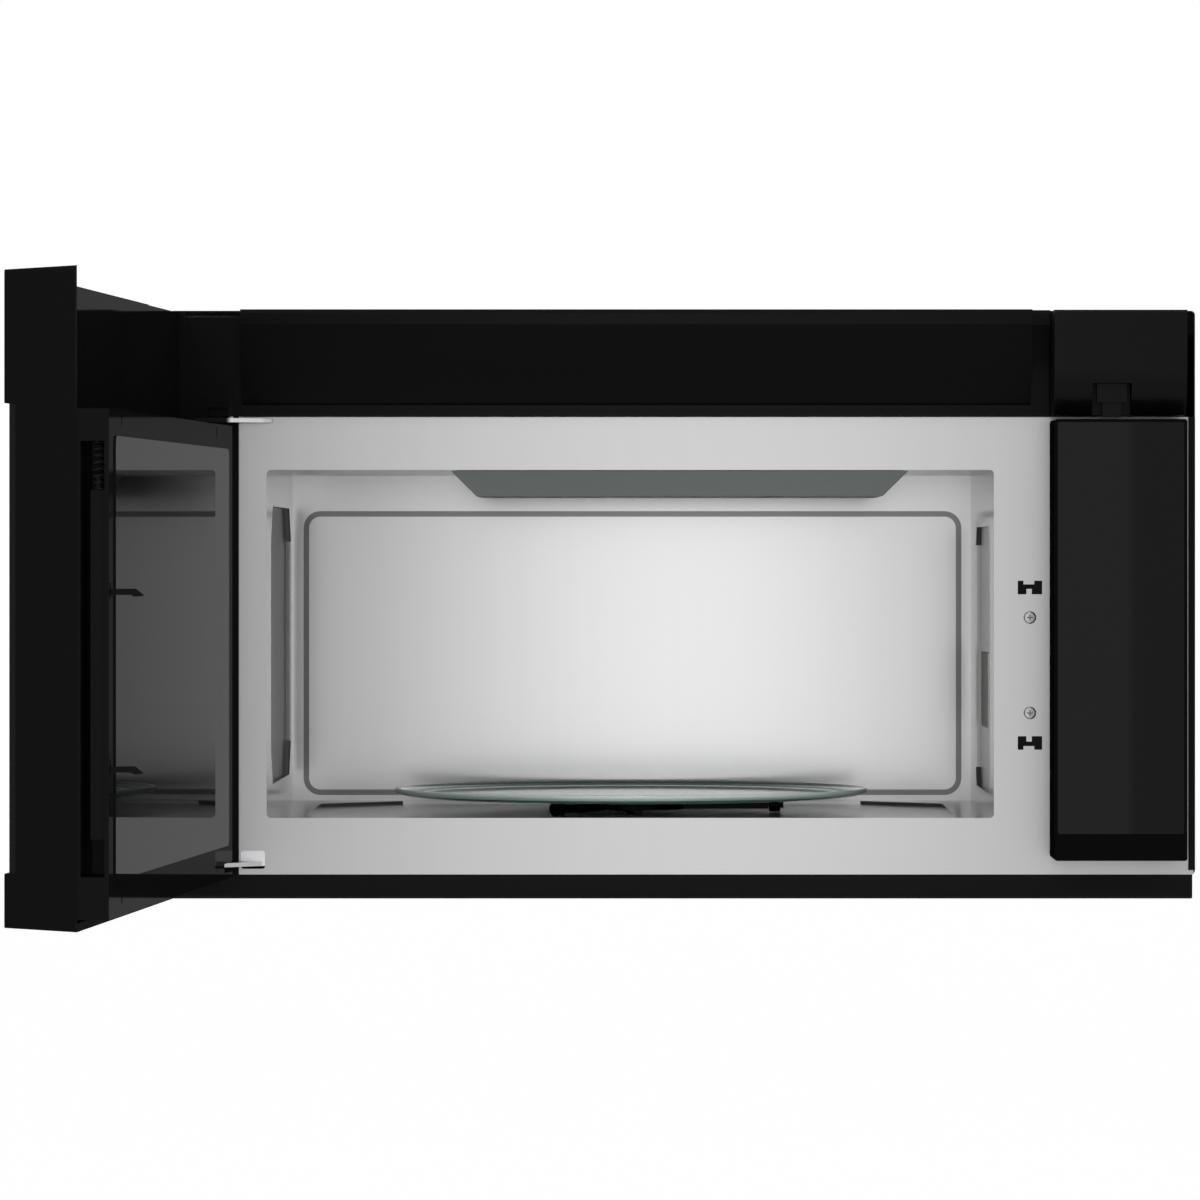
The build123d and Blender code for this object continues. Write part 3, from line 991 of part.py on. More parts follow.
def make_blower_wheels():
    """Two squirrel-cage wheels of curved blades on the motor's through shaft."""
    wheels = Rot(0, 90, 0) * Cylinder(BLOWER_SHAFT, 2 * (BLOWER_OUTER - 4))
    for side in (-1, 1):
        middle = side * (BLOWER_INNER + BLOWER_OUTER) / 2
        half = WHEEL_WIDTH / 2 - 1
        wheel = Rot(0, 90, 0) * Cylinder(WHEEL_RADIUS, 1.6)
        for end in (-half, half - 2):
            ring = Cylinder(WHEEL_RADIUS, 2) - Cylinder(WHEEL_RADIUS - 8, 2)
            wheel += Pos(end + 1, 0, 0) * Rot(0, 90, 0) * ring
        for index in range(WHEEL_BLADES):
            blade = Pos(WHEEL_RADIUS - 4.2, 0, 0) * Rot(0, 0, 38) * Box(7.4, 0.8, 2 * half - 2)
            wheel += Rot(360 / WHEEL_BLADES * index, 0, 0) * Rot(0, 90, 0) * blade
        wheels += Pos(middle, 0, 0) * (wheel + Rot(0, 90, 0) * Cylinder(9, 20))
    return Pos(0, EXHAUST_Y, BLOWER_HEIGHT) * wheels


def make_blower_motor():
    motor = rod_x(-24, 24, EXHAUST_Y, BLOWER_HEIGHT, 32)
    motor += rod_x(-30, 30, EXHAUST_Y, BLOWER_HEIGHT, 14)
    motor += block(-18, 18, EXHAUST_Y - 22, EXHAUST_Y + 22, CAVITY_ROOF + 1.5, BLOWER_HEIGHT - 20)
    return motor - rod_x(-31, 31, EXHAUST_Y, BLOWER_HEIGHT, BLOWER_SHAFT + RUNNING)


# ---- underside ----
def make_grease_filter(side):
    """Pressed aluminium frame with an expanded mesh inside."""
    x = side * FILTER_X
    z0, z1 = FILTER_SEAT - FREE - FILTER_THICKNESS, FILTER_SEAT - FREE
    length, width = FILTER_LENGTH, FILTER_WIDTH
    frame = slab(x - length / 2, x + length / 2, FILTER_Y - width / 2, FILTER_Y + width / 2, z0, z1, 5)
    border = FILTER_BORDER
    frame -= slab(x - length / 2 + border, x + length / 2 - border, FILTER_Y - width / 2 + border,
                  FILTER_Y + width / 2 - border, z0 - 1, z1 + 1, 2)
    mesh = block(x - length / 2 + border - 1, x + length / 2 - border + 1, FILTER_Y - width / 2 + border - 1,
                 FILTER_Y + width / 2 - border + 1, z0 + 3, z0 + 4.5)
    columns, rows = 13, 6
    step_x = (length - 2 * border) / columns
    step_y = (width - 2 * border) / rows
    left, near = x - length / 2 + border, FILTER_Y - width / 2 + border
    holes = Sketch() + [
        Pos(left + step_x * (column + 0.5), near + step_y * (row + 0.5)) * RegularPolygon(step_y * 0.4, 4)
        for column in range(columns) for row in range(rows)]
    mesh -= extrude(Pos(0, 0, z0) * holes, 10)
    grip = Pos(x - side * (length / 2 - border / 2), FILTER_Y, z0 - 1.5) * Box(8, 22, 3)
    return frame + mesh + grip


def make_lamp_lens(side):
    x = side * LAMP_X
    half_x, half_y = LAMP_LENGTH / 2, LAMP_WIDTH / 2
    lens = slab(x - half_x + FREE, x + half_x - FREE, LAMP_Y - half_y + FREE, LAMP_Y + half_y - FREE,
                0.2, SHEET, 4)
    return lens + slab(x - half_x - 5, x + half_x + 5, LAMP_Y - half_y - 5, LAMP_Y + half_y + 5,
                       SHEET, SHEET + 1.8, 5)


def socket_x(side):
    return side * LAMP_X - LAMP_LENGTH / 2 - 24


def make_lamp_sockets():
    sockets = []
    axis = SHEET + LAMP_AXIS_HEIGHT
    for x in (socket_x(-1), socket_x(1)):
        body = block(x - 10, x + 12, LAMP_Y - 14, LAMP_Y + 14, SHEET, SHEET + 30)
        sockets.append(body - rod_x(x - 6, x + 13, LAMP_Y, axis, LAMP_BASE_RADIUS + FREE))
    return sockets


def pear_bulb(x, y, z, length, radius):
    """Bulb with its base at x, turned about a level axis from its half section."""
    neck = LAMP_BASE_RADIUS
    outline = Polyline((0, 0), (0, neck), (length * 0.45, neck), (length * 0.6, radius),
                       (length * 0.85, radius), (length, radius * 0.45), (length, 0), close=True)
    return Pos(x, y, z) * revolve(make_face(outline), axis=Axis.X)


def make_cooktop_bulbs():
    return [pear_bulb(socket_x(side) - 6, LAMP_Y, SHEET + LAMP_AXIS_HEIGHT, 49, 13) for side in (-1, 1)]


# ---- control column ----
def make_control_housing():
    left, right, low, high = CONTROL_LEFT, CONTROL_RIGHT, CONTROL_BOTTOM, CONTROL_TOP
    front = CONTROL_FORWARD
    housing = plate(left, right, low, high, forward(front), forward(0), 2)
    wall, seat = CONTROL_WALL, front - CONTROL_GLASS
    housing -= block(left + wall, right - wall, forward(seat - 3), forward(-1), low + wall, high - wall)
    housing -= plate(left + 2, right - 2, CONTROL_BAND_TOP, high - 2, forward(front + 1), forward(seat), 1.5)
    housing -= block(left + 14, right - 14, forward(front), forward(front - 10), DISPLAY_BOTTOM, DISPLAY_TOP)
    for x in (left + 16, right - 16):
        for lift in BOARD_POST_LIFTS:
            housing += rod_y(x, forward(seat - 3), forward(BOARD_FORWARD), low + lift, 3)
    return housing


def make_control_glass():
    left, right = CONTROL_LEFT + 2 + SEAM / 2, CONTROL_RIGHT - 2 - SEAM / 2
    return plate(left, right, CONTROL_BAND_TOP + SEAM / 2, CONTROL_TOP - 2 - SEAM / 2,
                 forward(CONTROL_FORWARD), forward(CONTROL_FORWARD - CONTROL_GLASS), 1.5)


def make_display():
    return block(CONTROL_LEFT + 14 + FREE, CONTROL_RIGHT - 14 - FREE, forward(CONTROL_FORWARD - CONTROL_GLASS),
                 forward(BOARD_FORWARD), DISPLAY_BOTTOM + FREE, DISPLAY_TOP - FREE)


def make_control_board():
    back = BOARD_FORWARD - BOARD_THICKNESS
    low = CONTROL_BOTTOM + 50
    board = block(CONTROL_LEFT + 10, CONTROL_RIGHT - 10, forward(BOARD_FORWARD), forward(back), low,
                  DISPLAY_TOP + 10)
    for lift, height in ((20, 22), (70, 30), (135, 18), (182, 26)):
        board += block(CONTROL_LEFT + 26, CONTROL_RIGHT - 30, forward(back), forward(back - 14.4),
                       low + lift, low + lift + height)
    return board


# ---- high-voltage side ----
def make_waveguide():
    x0, x1 = CAVITY_SIDE, CAVITY_SIDE + WAVEGUIDE_DEPTH
    y0, y1 = forward(-WAVEGUIDE_NEAR), forward(-WAVEGUIDE_FAR)
    top = MAGNETRON_HEIGHT + 46
    sheet = WAVEGUIDE_SHEET
    guide = block(x0, x1, y0, y1, WAVEGUIDE_BOTTOM, top)
    guide += block(x0, x0 + sheet, y0 - 8, y1 + 8, WAVEGUIDE_BOTTOM - 8, top + 8)
    guide -= block(x0 + sheet, x1 - sheet, y0 + sheet, y1 - sheet, WAVEGUIDE_BOTTOM + sheet, top - sheet)
    guide -= plate_x_hole(x0 - 1, x0 + 2)
    return guide - rod_x(x1 - 3, x1 + 1, MAGNETRON_Y, MAGNETRON_HEIGHT, 9.5)


def make_magnetron():
    """Tube with its cooling fins inside a folded bracket, and the filter box at its end."""
    x0, y, z, half = CAVITY_SIDE + WAVEGUIDE_DEPTH, MAGNETRON_Y, MAGNETRON_HEIGHT, MAGNETRON_HALF
    tube = rod_x(x0 - 18, x0, y, z, 7.5)
    tube += block(x0, x0 + 2, y - half, y + half, z - half - 5, z + half + 5)
    tube += rod_x(x0, x0 + 74, y, z, 18)
    for index in range(MAGNETRON_FINS):
        x = x0 + 14 + index * 10
        tube += block(x, x + 1.2, y - half + 8, y + half - 8, z - half + 4, z + half - 4)
    bracket = block(x0 + 2, x0 + 66, y - half, y + half, z - half, z + half)
    bracket -= block(x0 + 1, x0 + 64, y - half - 1, y + half + 1, z - half + 2, z + half - 2)
    return tube + bracket + block(x0 + 66, x0 + 82, y - 20, y + 20, z - 14, z + 14)


def make_transformer():
    x, y, z = BAY_X, TRANSFORMER_Y, SHEET
    core = block(x - 52, x + 52, y - 44, y + 44, z, z + 2)
    core += block(x - 44, x + 44, y - 30, y + 30, z + 2, z + 74)
    core += slab(x - 30, x + 30, y - 46, y + 46, z + 14, z + 62, 12)
    return core


def make_capacitor():
    x, y, z = BAY_X - 6, CAPACITOR_Y, SHEET
    can = Pos(x, y, z) * extrude(SlotOverall(54, 32), 92)
    can += Pos(x, y, z + 20) * extrude(SlotOverall(58, 36), 14)
    can += block(x - 40, x + 40, y - 10, y + 10, z, z + 2)
    for side in (-1, 1):
        can += block(x + side * 10 - 3, x + side * 10 + 3, y - 0.5, y + 0.5, z + 92, z + 102)
    return can


def make_fan_shroud():
    shroud = block(CAVITY_SIDE + 3, CASE_INSIDE, FAN_Y - 1.5, FAN_Y, FAN_Z - 66, FAN_Z + 66)
    shroud += rod_y(FAN_X, FAN_Y - 14, FAN_Y, FAN_Z, FAN_RADIUS + 4)
    shroud -= rod_y(FAN_X, FAN_Y - 15, FAN_Y + 1, FAN_Z, FAN_RADIUS + 2.5)
    bar = block(CAVITY_SIDE + 3, CASE_INSIDE, FAN_Y, FAN_Y + 5, FAN_Z - 9, FAN_Z + 9)
    return shroud + bar - rod_y(FAN_X, FAN_Y - 1, FAN_Y + 6, FAN_Z, FAN_SHAFT + 1.5)


def make_fan_motor():
    motor = rod_y(FAN_X, FAN_Y + 5, FAN_Y + 12, FAN_Z, 14)
    motor += block(FAN_X - 30, FAN_X + 30, FAN_Y + 12, FAN_Y + 34, FAN_Z - 30, FAN_Z + 22)
    return motor - rod_y(FAN_X, FAN_Y + 4, FAN_Y + 20, FAN_Z, FAN_SHAFT + RUNNING)


def make_fan_blade():
    fan = rod_y(FAN_X, FAN_Y - 12, FAN_Y + 18, FAN_Z, FAN_SHAFT)
    fan += rod_y(FAN_X, FAN_Y - 13, FAN_Y - 2, FAN_Z, 12)
    for index in range(5):
        blade = Pos(31, 0, 0) * Rot(28, 0, 0) * Box(40, 1.4, 24)
        fan += Pos(FAN_X, FAN_Y - 7.5, FAN_Z) * Rot(0, 72 * index, 0) * blade
    return fan


def make_filter_board():
    """Mains filter board on posts at the rear plate."""
    x0, x1 = BAY_X - 56, BAY_X + 24
    z0, z1 = BODY_HEIGHT - 115, BODY_HEIGHT - 40
    rear = -16
    face = rear + BOARD_THICKNESS
    board = block(x0, x1, rear, face, z0, z1)
    for x in (x0 + 6, x1 - 6):
        for z in (z0 + 6, z1 - 6):
            board += rod_y(x, face, -SHEET, z, 3)
    board += rod_y(x0 + 25, rear - 18, rear, z0 + 30, 13)
    board += block(x0 + 48, x0 + 72, rear - 18, rear, z0 + 15, z0 + 52)
    return board


def make_cord_bushing():
    bushing = rod_z(CORD_X, CORD_Y, TOP_INSIDE - 8, BODY_HEIGHT, CORD_HOLE_RADIUS - 0.2)
    bushing += rod_z(CORD_X, CORD_Y, BODY_HEIGHT, BODY_HEIGHT + 3, CORD_HOLE_RADIUS + 3)
    return bushing - rod_z(CORD_X, CORD_Y, TOP_INSIDE - 9, BODY_HEIGHT + 4, CORD_BORE_RADIUS)


def make_thermal_cutouts():
    cutouts = []
    for x, ahead in CUTOUTS:
        y = EXHAUST_FRONT - ahead
        base = Pos(x, y, CAVITY_ROOF + 0.5) * Box(34, 14, 1)
        cutouts.append(base + rod_z(x, y, CAVITY_ROOF + 1, CAVITY_ROOF + 10, 8))
    return cutouts


def make_cavity_lamp():
    """Lamp box over the perforated corner of the ceiling."""
    x, y, z = CAVITY_LEFT + 66, forward(-CAVITY_DEPTH + 53), CAVITY_ROOF
    box = block(x - 42, x + 42, y - 24, y + 24, z, z + 34)
    box -= block(x - 40, x + 40, y - 22, y + 22, z - 1, z + 32)
    return box + pear_bulb(x - 40, y, z + 16, 46, 12)


def save(name, piece):
    """Write one piece, lowered so that the centre of the rear face is the origin."""
    lower = Pos(0, 0, -BODY_HEIGHT / 2)
    if isinstance(piece, (list, tuple)):
        piece = Compound([solid for item in piece for solid in item.solids()])
    export_step(lower * piece, f"parts/{name}.step")


FIXED = {
    "outer_case": make_outer_case,
    "top_bracket": make_top_bracket,
    "rear_plate": make_rear_plate,
    "base_pan": make_base_pan,
    "front_frame": make_front_frame,
    "cavity_shell": make_cavity,
    "ceiling_cover": make_ceiling_cover,
    "waveguide_cover": make_side_cover,
    "turntable_motor": make_turntable_motor,
    "drive_hub": make_drive_hub,
    "roller_support": make_roller_support,
    "glass_tray": make_glass_tray,
    "upper_hinge": make_upper_hinge,
    "lower_hinge": make_lower_hinge,
    "latch_bracket": make_latch_bracket,
    "interlock_switches": make_switches,
    "frame_screws": make_frame_screws,
    "vent_cowl": make_cowl,
    "vent_cover": make_vent_cover,
    "vent_cover_latch": make_cover_latch,
    "filter_housing": make_filter_housing,
    "charcoal_filter": make_charcoal_filter,
    "exhaust_collar": make_collar,
    "damper_flap": make_damper,
    "blower_housing": make_blower_housing,
    "blower_wheels": make_blower_wheels,
    "blower_motor": make_blower_motor,
    "lamp_sockets": make_lamp_sockets,
    "cooktop_bulbs": make_cooktop_bulbs,
    "control_housing": make_control_housing,
    "control_glass": make_control_glass,
    "display_module": make_display,
    "control_board": make_control_board,
    "waveguide": make_waveguide,
    "magnetron": make_magnetron,
    "transformer": make_transformer,
    "capacitor": make_capacitor,
    "fan_shroud": make_fan_shroud,
    "fan_motor": make_fan_motor,
    "fan_blade": make_fan_blade,
    "mains_filter_board": make_filter_board,
    "cord_bushing": make_cord_bushing,
    "thermal_cutouts": make_thermal_cutouts,
    "cavity_lamp": make_cavity_lamp,
}

DOOR = {
    "door_shell": make_door_shell,
    "door_glass": make_door_glass,
    "door_inner_frame": make_inner_frame,
    "door_inner_panel": make_inner_panel,
    "door_screen": make_door_screen,
    "hinge_blocks": make_hinge_blocks,
    "latch_bar": make_latch_bar,
    "latch_spring": make_latch_spring,
}

os.makedirs("parts", exist_ok=True)

for name, make in FIXED.items():
    save(name, make())

for step in range(ROLLER_COUNT):
    save(f"roller_{step + 1}", make_roller(step))

for side, word in ((-1, "left"), (1, "right")):
    save(f"grease_filter_{word}", make_grease_filter(side))
    save(f"lamp_lens_{word}", make_lamp_lens(side))

for name, make in DOOR.items():
    pieces = make()
    if not isinstance(pieces, (list, tuple)):
        pieces = [pieces]
    save(name, [swing(piece) for piece in pieces])
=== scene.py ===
import bpy
import bmesh
import json
import math
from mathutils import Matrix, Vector


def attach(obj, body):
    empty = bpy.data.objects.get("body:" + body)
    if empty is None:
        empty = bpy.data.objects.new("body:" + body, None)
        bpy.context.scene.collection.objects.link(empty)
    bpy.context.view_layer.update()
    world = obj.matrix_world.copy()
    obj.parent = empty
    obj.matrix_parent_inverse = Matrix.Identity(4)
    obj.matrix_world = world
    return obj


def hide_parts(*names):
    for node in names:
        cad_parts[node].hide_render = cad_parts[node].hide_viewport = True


# Over-the-range microwave oven with its door open. Metres, except where a line says otherwise.
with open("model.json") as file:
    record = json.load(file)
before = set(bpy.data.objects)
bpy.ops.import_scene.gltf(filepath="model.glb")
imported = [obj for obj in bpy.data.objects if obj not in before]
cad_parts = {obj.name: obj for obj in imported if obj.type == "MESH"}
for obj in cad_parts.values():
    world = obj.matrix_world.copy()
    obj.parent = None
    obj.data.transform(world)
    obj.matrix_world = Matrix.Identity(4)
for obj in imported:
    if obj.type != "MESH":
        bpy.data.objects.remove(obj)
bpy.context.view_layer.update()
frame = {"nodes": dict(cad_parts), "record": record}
nodes = frame["nodes"]
scene = bpy.context.scene

BODY_HEIGHT = 0.435
FRAME_Y = -0.392             # face of the front frame
HALF = BODY_HEIGHT / 2
HINGE_BLACK_TO = -0.334      # the upper hinge is drawn black on this side of its bend
HINGE_BLACK_ABOVE = 0.1395   # and so is its upright tab
GROOVE_SHADE_FROM = -0.0155        # painted shade darkens the back wall's groove, which lies behind this
LEFT_PANEL_SHADE_FROM = -0.3085    # painted shade darkens the panel let into the left wall, beyond this
RIGHT_PANEL_SHADE_FROM = 0.2315    # and painted shade darkens the one in the right wall, beyond this
FRAME_SHADOW_TO = -0.3278     # painted shadow: the front frame is drawn black beside the hinge, where the door's edge shades it
TRAY_AXIS = (-0.0383, -0.2050)
# painted highlights: rings at the tray's rims, drawn paler and less clear
TRAY_HIGHLIGHT_RINGS = ((0.1772, 0.1900), (0.1575, 0.1605))
TRAY_PROFILE = ((0.0, -148.6), (150, -148.6), (158, -148.5), (166, -147.9), (173, -146.9), (178, -145.6),
                (180.5, -144.3), (181.0, -143.2), (180.9, -142.3), (180.4, -141.6), (179.6, -141.25),
                (178.8, -141.2), (178.0, -141.45), (177.2, -142.0), (175.5, -143.0), (172, -143.9),
                (168, -144.3), (164, -144.4), (161, -144.45), (159.5, -144.6), (157.5, -144.95),
                (150, -145.0), (0.0, -145.0))      # glass tray: radius and height, mm
TRAY_SIDES = 144
SCREW_X = 0.2574             # the two screws beside the latch slots
SCREW_HEIGHTS = (-0.0800, -0.0094)
SCREW_HEAD = 0.0046
SCREW_PROUD = 0.0016
SCREW_SHANK = 0.0020
SCREW_LENGTH = 0.010
SCREW_LIP = 0.0004           # straight edge of the head, below its rounding
RECESS_ARM = 0.0025
RECESS_SLOT = 0.0011
RECESS_DEPTH = 0.0011
RECESS_TAPER = 0.62
SHARP_ANGLE = math.radians(35)
RING_BLEND = 0.0006
PHOTO_SIZE = 1200            # pixels
FOCAL_LENGTH = 7029          # pixels
VIEW_CENTRE = (652, 557.5)   # pixels
CAMERA_DISTANCE = 5.2        # from the front frame's face


# ---- materials ----
def new_material(name):
    mat = bpy.data.materials.new(name)
    mat.use_nodes = True
    return mat, mat.node_tree, mat.node_tree.nodes["Principled BSDF"]


def object_coords(nt, stretch=(1, 1, 1)):
    coords = nt.nodes.new("ShaderNodeTexCoord")
    mapping = nt.nodes.new("ShaderNodeMapping")
    mapping.inputs["Scale"].default_value = stretch
    nt.links.new(coords.outputs["Object"], mapping.inputs["Vector"])
    return mapping.outputs["Vector"]


def noise(nt, vector, scale, detail=3.0):
    node = nt.nodes.new("ShaderNodeTexNoise")
    node.inputs["Scale"].default_value = scale
    node.inputs["Detail"].default_value = detail
    nt.links.new(vector, node.inputs["Vector"])
    return node.outputs["Fac"]


def colour_mix(nt, factor, low, high):
    mix = nt.nodes.new("ShaderNodeMix")
    mix.data_type = "RGBA"
    mix.inputs["A"].default_value = [*low, 1]
    mix.inputs["B"].default_value = [*high, 1]
    nt.links.new(factor, mix.inputs["Factor"])
    return mix.outputs["Result"]


def spread(nt, value, low, high):
    node = nt.nodes.new("ShaderNodeMapRange")
    node.inputs["To Min"].default_value = max(0.0, low)
    node.inputs["To Max"].default_value = min(1.0, high)
    nt.links.new(value, node.inputs["Value"])
    return node.outputs["Result"]


def bump(nt, bsdf, height, strength, distance):
    node = nt.nodes.new("ShaderNodeBump")
    node.inputs["Strength"].default_value = strength
    node.inputs["Distance"].default_value = distance
    nt.links.new(height, node.inputs["Height"])
    nt.links.new(node.outputs["Normal"], bsdf.inputs["Normal"])


def finish(name, base, rough, metallic=0.0, specular=0.5, coat=0.0, coat_rough=0.05, coat_ior=1.5,
           transmission=0.0, ior=1.45, tone=0.06, tone_scale=3.0, rough_spread=0.05, grain=0.02,
           grain_scale=900.0, grain_depth=0.0004, stretch=(1, 1, 1)):
    """Principled material with a slight change of tone and sheen over the surface and a fine grain."""
    mat, nt, bsdf = new_material(name)
    bsdf.inputs["Metallic"].default_value = metallic
    bsdf.inputs["Specular IOR Level"].default_value = specular
    bsdf.inputs["Coat Weight"].default_value = coat
    bsdf.inputs["Coat Roughness"].default_value = coat_rough
    bsdf.inputs["Coat IOR"].default_value = coat_ior
    bsdf.inputs["Transmission Weight"].default_value = transmission
    bsdf.inputs["IOR"].default_value = ior
    vector = object_coords(nt, stretch)
    broad = noise(nt, object_coords(nt), tone_scale)
    low = [c * (1 - tone) for c in base]
    high = [min(1.0, c * (1 + tone)) for c in base]
    nt.links.new(colour_mix(nt, broad, low, high), bsdf.inputs["Base Color"])
    nt.links.new(spread(nt, broad, rough - rough_spread, rough + rough_spread), bsdf.inputs["Roughness"])
    bump(nt, bsdf, noise(nt, vector, grain_scale, 2.0), grain, grain_depth)
    return mat


def ramp(nt, value, start, end):
    """0 where the value is at start, 1 where it is at end, with a blend between."""
    node = nt.nodes.new("ShaderNodeMapRange")
    node.inputs["From Min"].default_value = start
    node.inputs["From Max"].default_value = end
    nt.links.new(value, node.inputs["Value"])
    return node.outputs["Result"]


def object_axes(nt):
    node = nt.nodes.new("ShaderNodeSeparateXYZ")
    nt.links.new(object_coords(nt), node.inputs["Vector"])
    return node


def combined(nt, operation, first, second):
    node = nt.nodes.new("ShaderNodeMath")
    node.operation = operation
    nt.links.new(first, node.inputs[0])
    nt.links.new(second, node.inputs[1])
    return node.outputs[0]


def part_black_steel(name, black_to, black_above):
    """Bright pressed steel, drawn black and not metallic where x is below black_to or z is above black_above.
    """
    mat, nt, bsdf = new_material(name)
    vector = object_coords(nt)
    axes = object_axes(nt)
    side = combined(nt, "MULTIPLY", ramp(nt, axes.outputs["X"], black_to - 0.0015, black_to + 0.0015),
                    ramp(nt, axes.outputs["Z"], black_above, black_above - 0.001))
    nt.links.new(colour_mix(nt, side, (0.012, 0.012, 0.012), (0.50, 0.50, 0.51)), bsdf.inputs["Base Color"])
    nt.links.new(side, bsdf.inputs["Metallic"])
    bsdf.inputs["Specular IOR Level"].default_value = 0.0
    grain = noise(nt, vector, 700.0, 2.0)
    nt.links.new(spread(nt, grain, 0.22, 0.36), bsdf.inputs["Roughness"])
    bump(nt, bsdf, grain, 0.05, 0.0003)
    return mat


def shade_patched_sheet(name, base, metallic, rough, patches, streak=(1, 1, 0.04)):
    """Satin sheet with faint upright streaks. Each patch is (axis, limit, way, tone, metallic): beyond the
    limit, on the side that way gives, the sheet has that other tone, a painted shade."""
    mat, nt, bsdf = new_material(name)
    axes = object_axes(nt)
    streaks = noise(nt, object_coords(nt, streak), 60.0, 1.0)
    colour = colour_mix(nt, streaks, [c * 0.975 for c in base], [c * 1.025 for c in base])
    gleam = None
    for axis, limit, way, tone, patch_metallic in patches:
        shade_mask = ramp(nt, axes.outputs[axis], limit - way * 0.0003, limit + way * 0.0003)
        step = nt.nodes.new("ShaderNodeMix")
        step.data_type = "RGBA"
        step.inputs["B"].default_value = [*tone, 1]
        nt.links.new(shade_mask, step.inputs["Factor"])
        nt.links.new(colour, step.inputs["A"])
        colour = step.outputs["Result"]
        level = nt.nodes.new("ShaderNodeMix")
        level.inputs["A"].default_value = metallic
        level.inputs["B"].default_value = patch_metallic
        nt.links.new(shade_mask, level.inputs["Factor"])
        if gleam is not None:
            nt.links.new(gleam, level.inputs["A"])
        gleam = level.outputs["Result"]
    nt.links.new(colour, bsdf.inputs["Base Color"])
    nt.links.new(gleam, bsdf.inputs["Metallic"])
    bsdf.inputs["Specular IOR Level"].default_value = 0.0
    nt.links.new(spread(nt, streaks, rough - 0.008, rough + 0.008), bsdf.inputs["Roughness"])
    bump(nt, bsdf, noise(nt, object_coords(nt), 900.0, 2.0), 0.015, 0.0004)
    return mat


def tray_glass(name, base, edge, axis, rings):
    """Greenish glass. Each ring is (inner, outer) radius from the axis, where a painted highlight makes the
    glass paler and less clear.
    """
    mat, nt, bsdf = new_material(name)
    offset = nt.nodes.new("ShaderNodeVectorMath")
    offset.operation = "SUBTRACT"
    offset.inputs[1].default_value = (axis[0], axis[1], 0)
    nt.links.new(object_coords(nt, (1, 1, 0)), offset.inputs[0])
    length = nt.nodes.new("ShaderNodeVectorMath")
    length.operation = "LENGTH"
    nt.links.new(offset.outputs["Vector"], length.inputs[0])
    glow = None
    for inner, outer in rings:
        rise = ramp(nt, length.outputs["Value"], inner - RING_BLEND, inner + RING_BLEND)
        fall = ramp(nt, length.outputs["Value"], outer + RING_BLEND, outer - RING_BLEND)
        ring = combined(nt, "MULTIPLY", rise, fall)
        glow = ring if glow is None else combined(nt, "MAXIMUM", glow, ring)
    nt.links.new(colour_mix(nt, glow, base, edge), bsdf.inputs["Base Color"])
    nt.links.new(spread(nt, glow, 0.72, 0.25), bsdf.inputs["Transmission Weight"])
    waves = noise(nt, object_coords(nt), 25.0)
    nt.links.new(spread(nt, waves, 0.05, 0.09), bsdf.inputs["Roughness"])
    bsdf.inputs["Specular IOR Level"].default_value = 0.0
    bsdf.inputs["Coat Weight"].default_value = 0.28
    bsdf.inputs["Coat Roughness"].default_value = 0.04
    bsdf.inputs["IOR"].default_value = 1.46
    bump(nt, bsdf, waves, 0.05, 0.0002)
    return mat


def woven_mesh(name):
    """Layers of crushed aluminium mesh: light strands over sunken gaps darkened with painted shade."""
    mat, nt, bsdf = new_material(name)
    strands = nt.nodes.new("ShaderNodeTexVoronoi")
    strands.feature = "DISTANCE_TO_EDGE"
    strands.inputs["Scale"].default_value = 300.0
    strands.inputs["Randomness"].default_value = 0.7
    nt.links.new(object_coords(nt, (1, 0.6, 1)), strands.inputs["Vector"])
    gap = ramp(nt, strands.outputs["Distance"], 0.10, 0.30)
    nt.links.new(colour_mix(nt, gap, (0.62, 0.63, 0.64), (0.10, 0.10, 0.105)), bsdf.inputs["Base Color"])
    bsdf.inputs["Metallic"].default_value = 0.85
    nt.links.new(spread(nt, gap, 0.32, 0.6), bsdf.inputs["Roughness"])
    bump(nt, bsdf, gap, 0.5, -0.0006)
    return mat


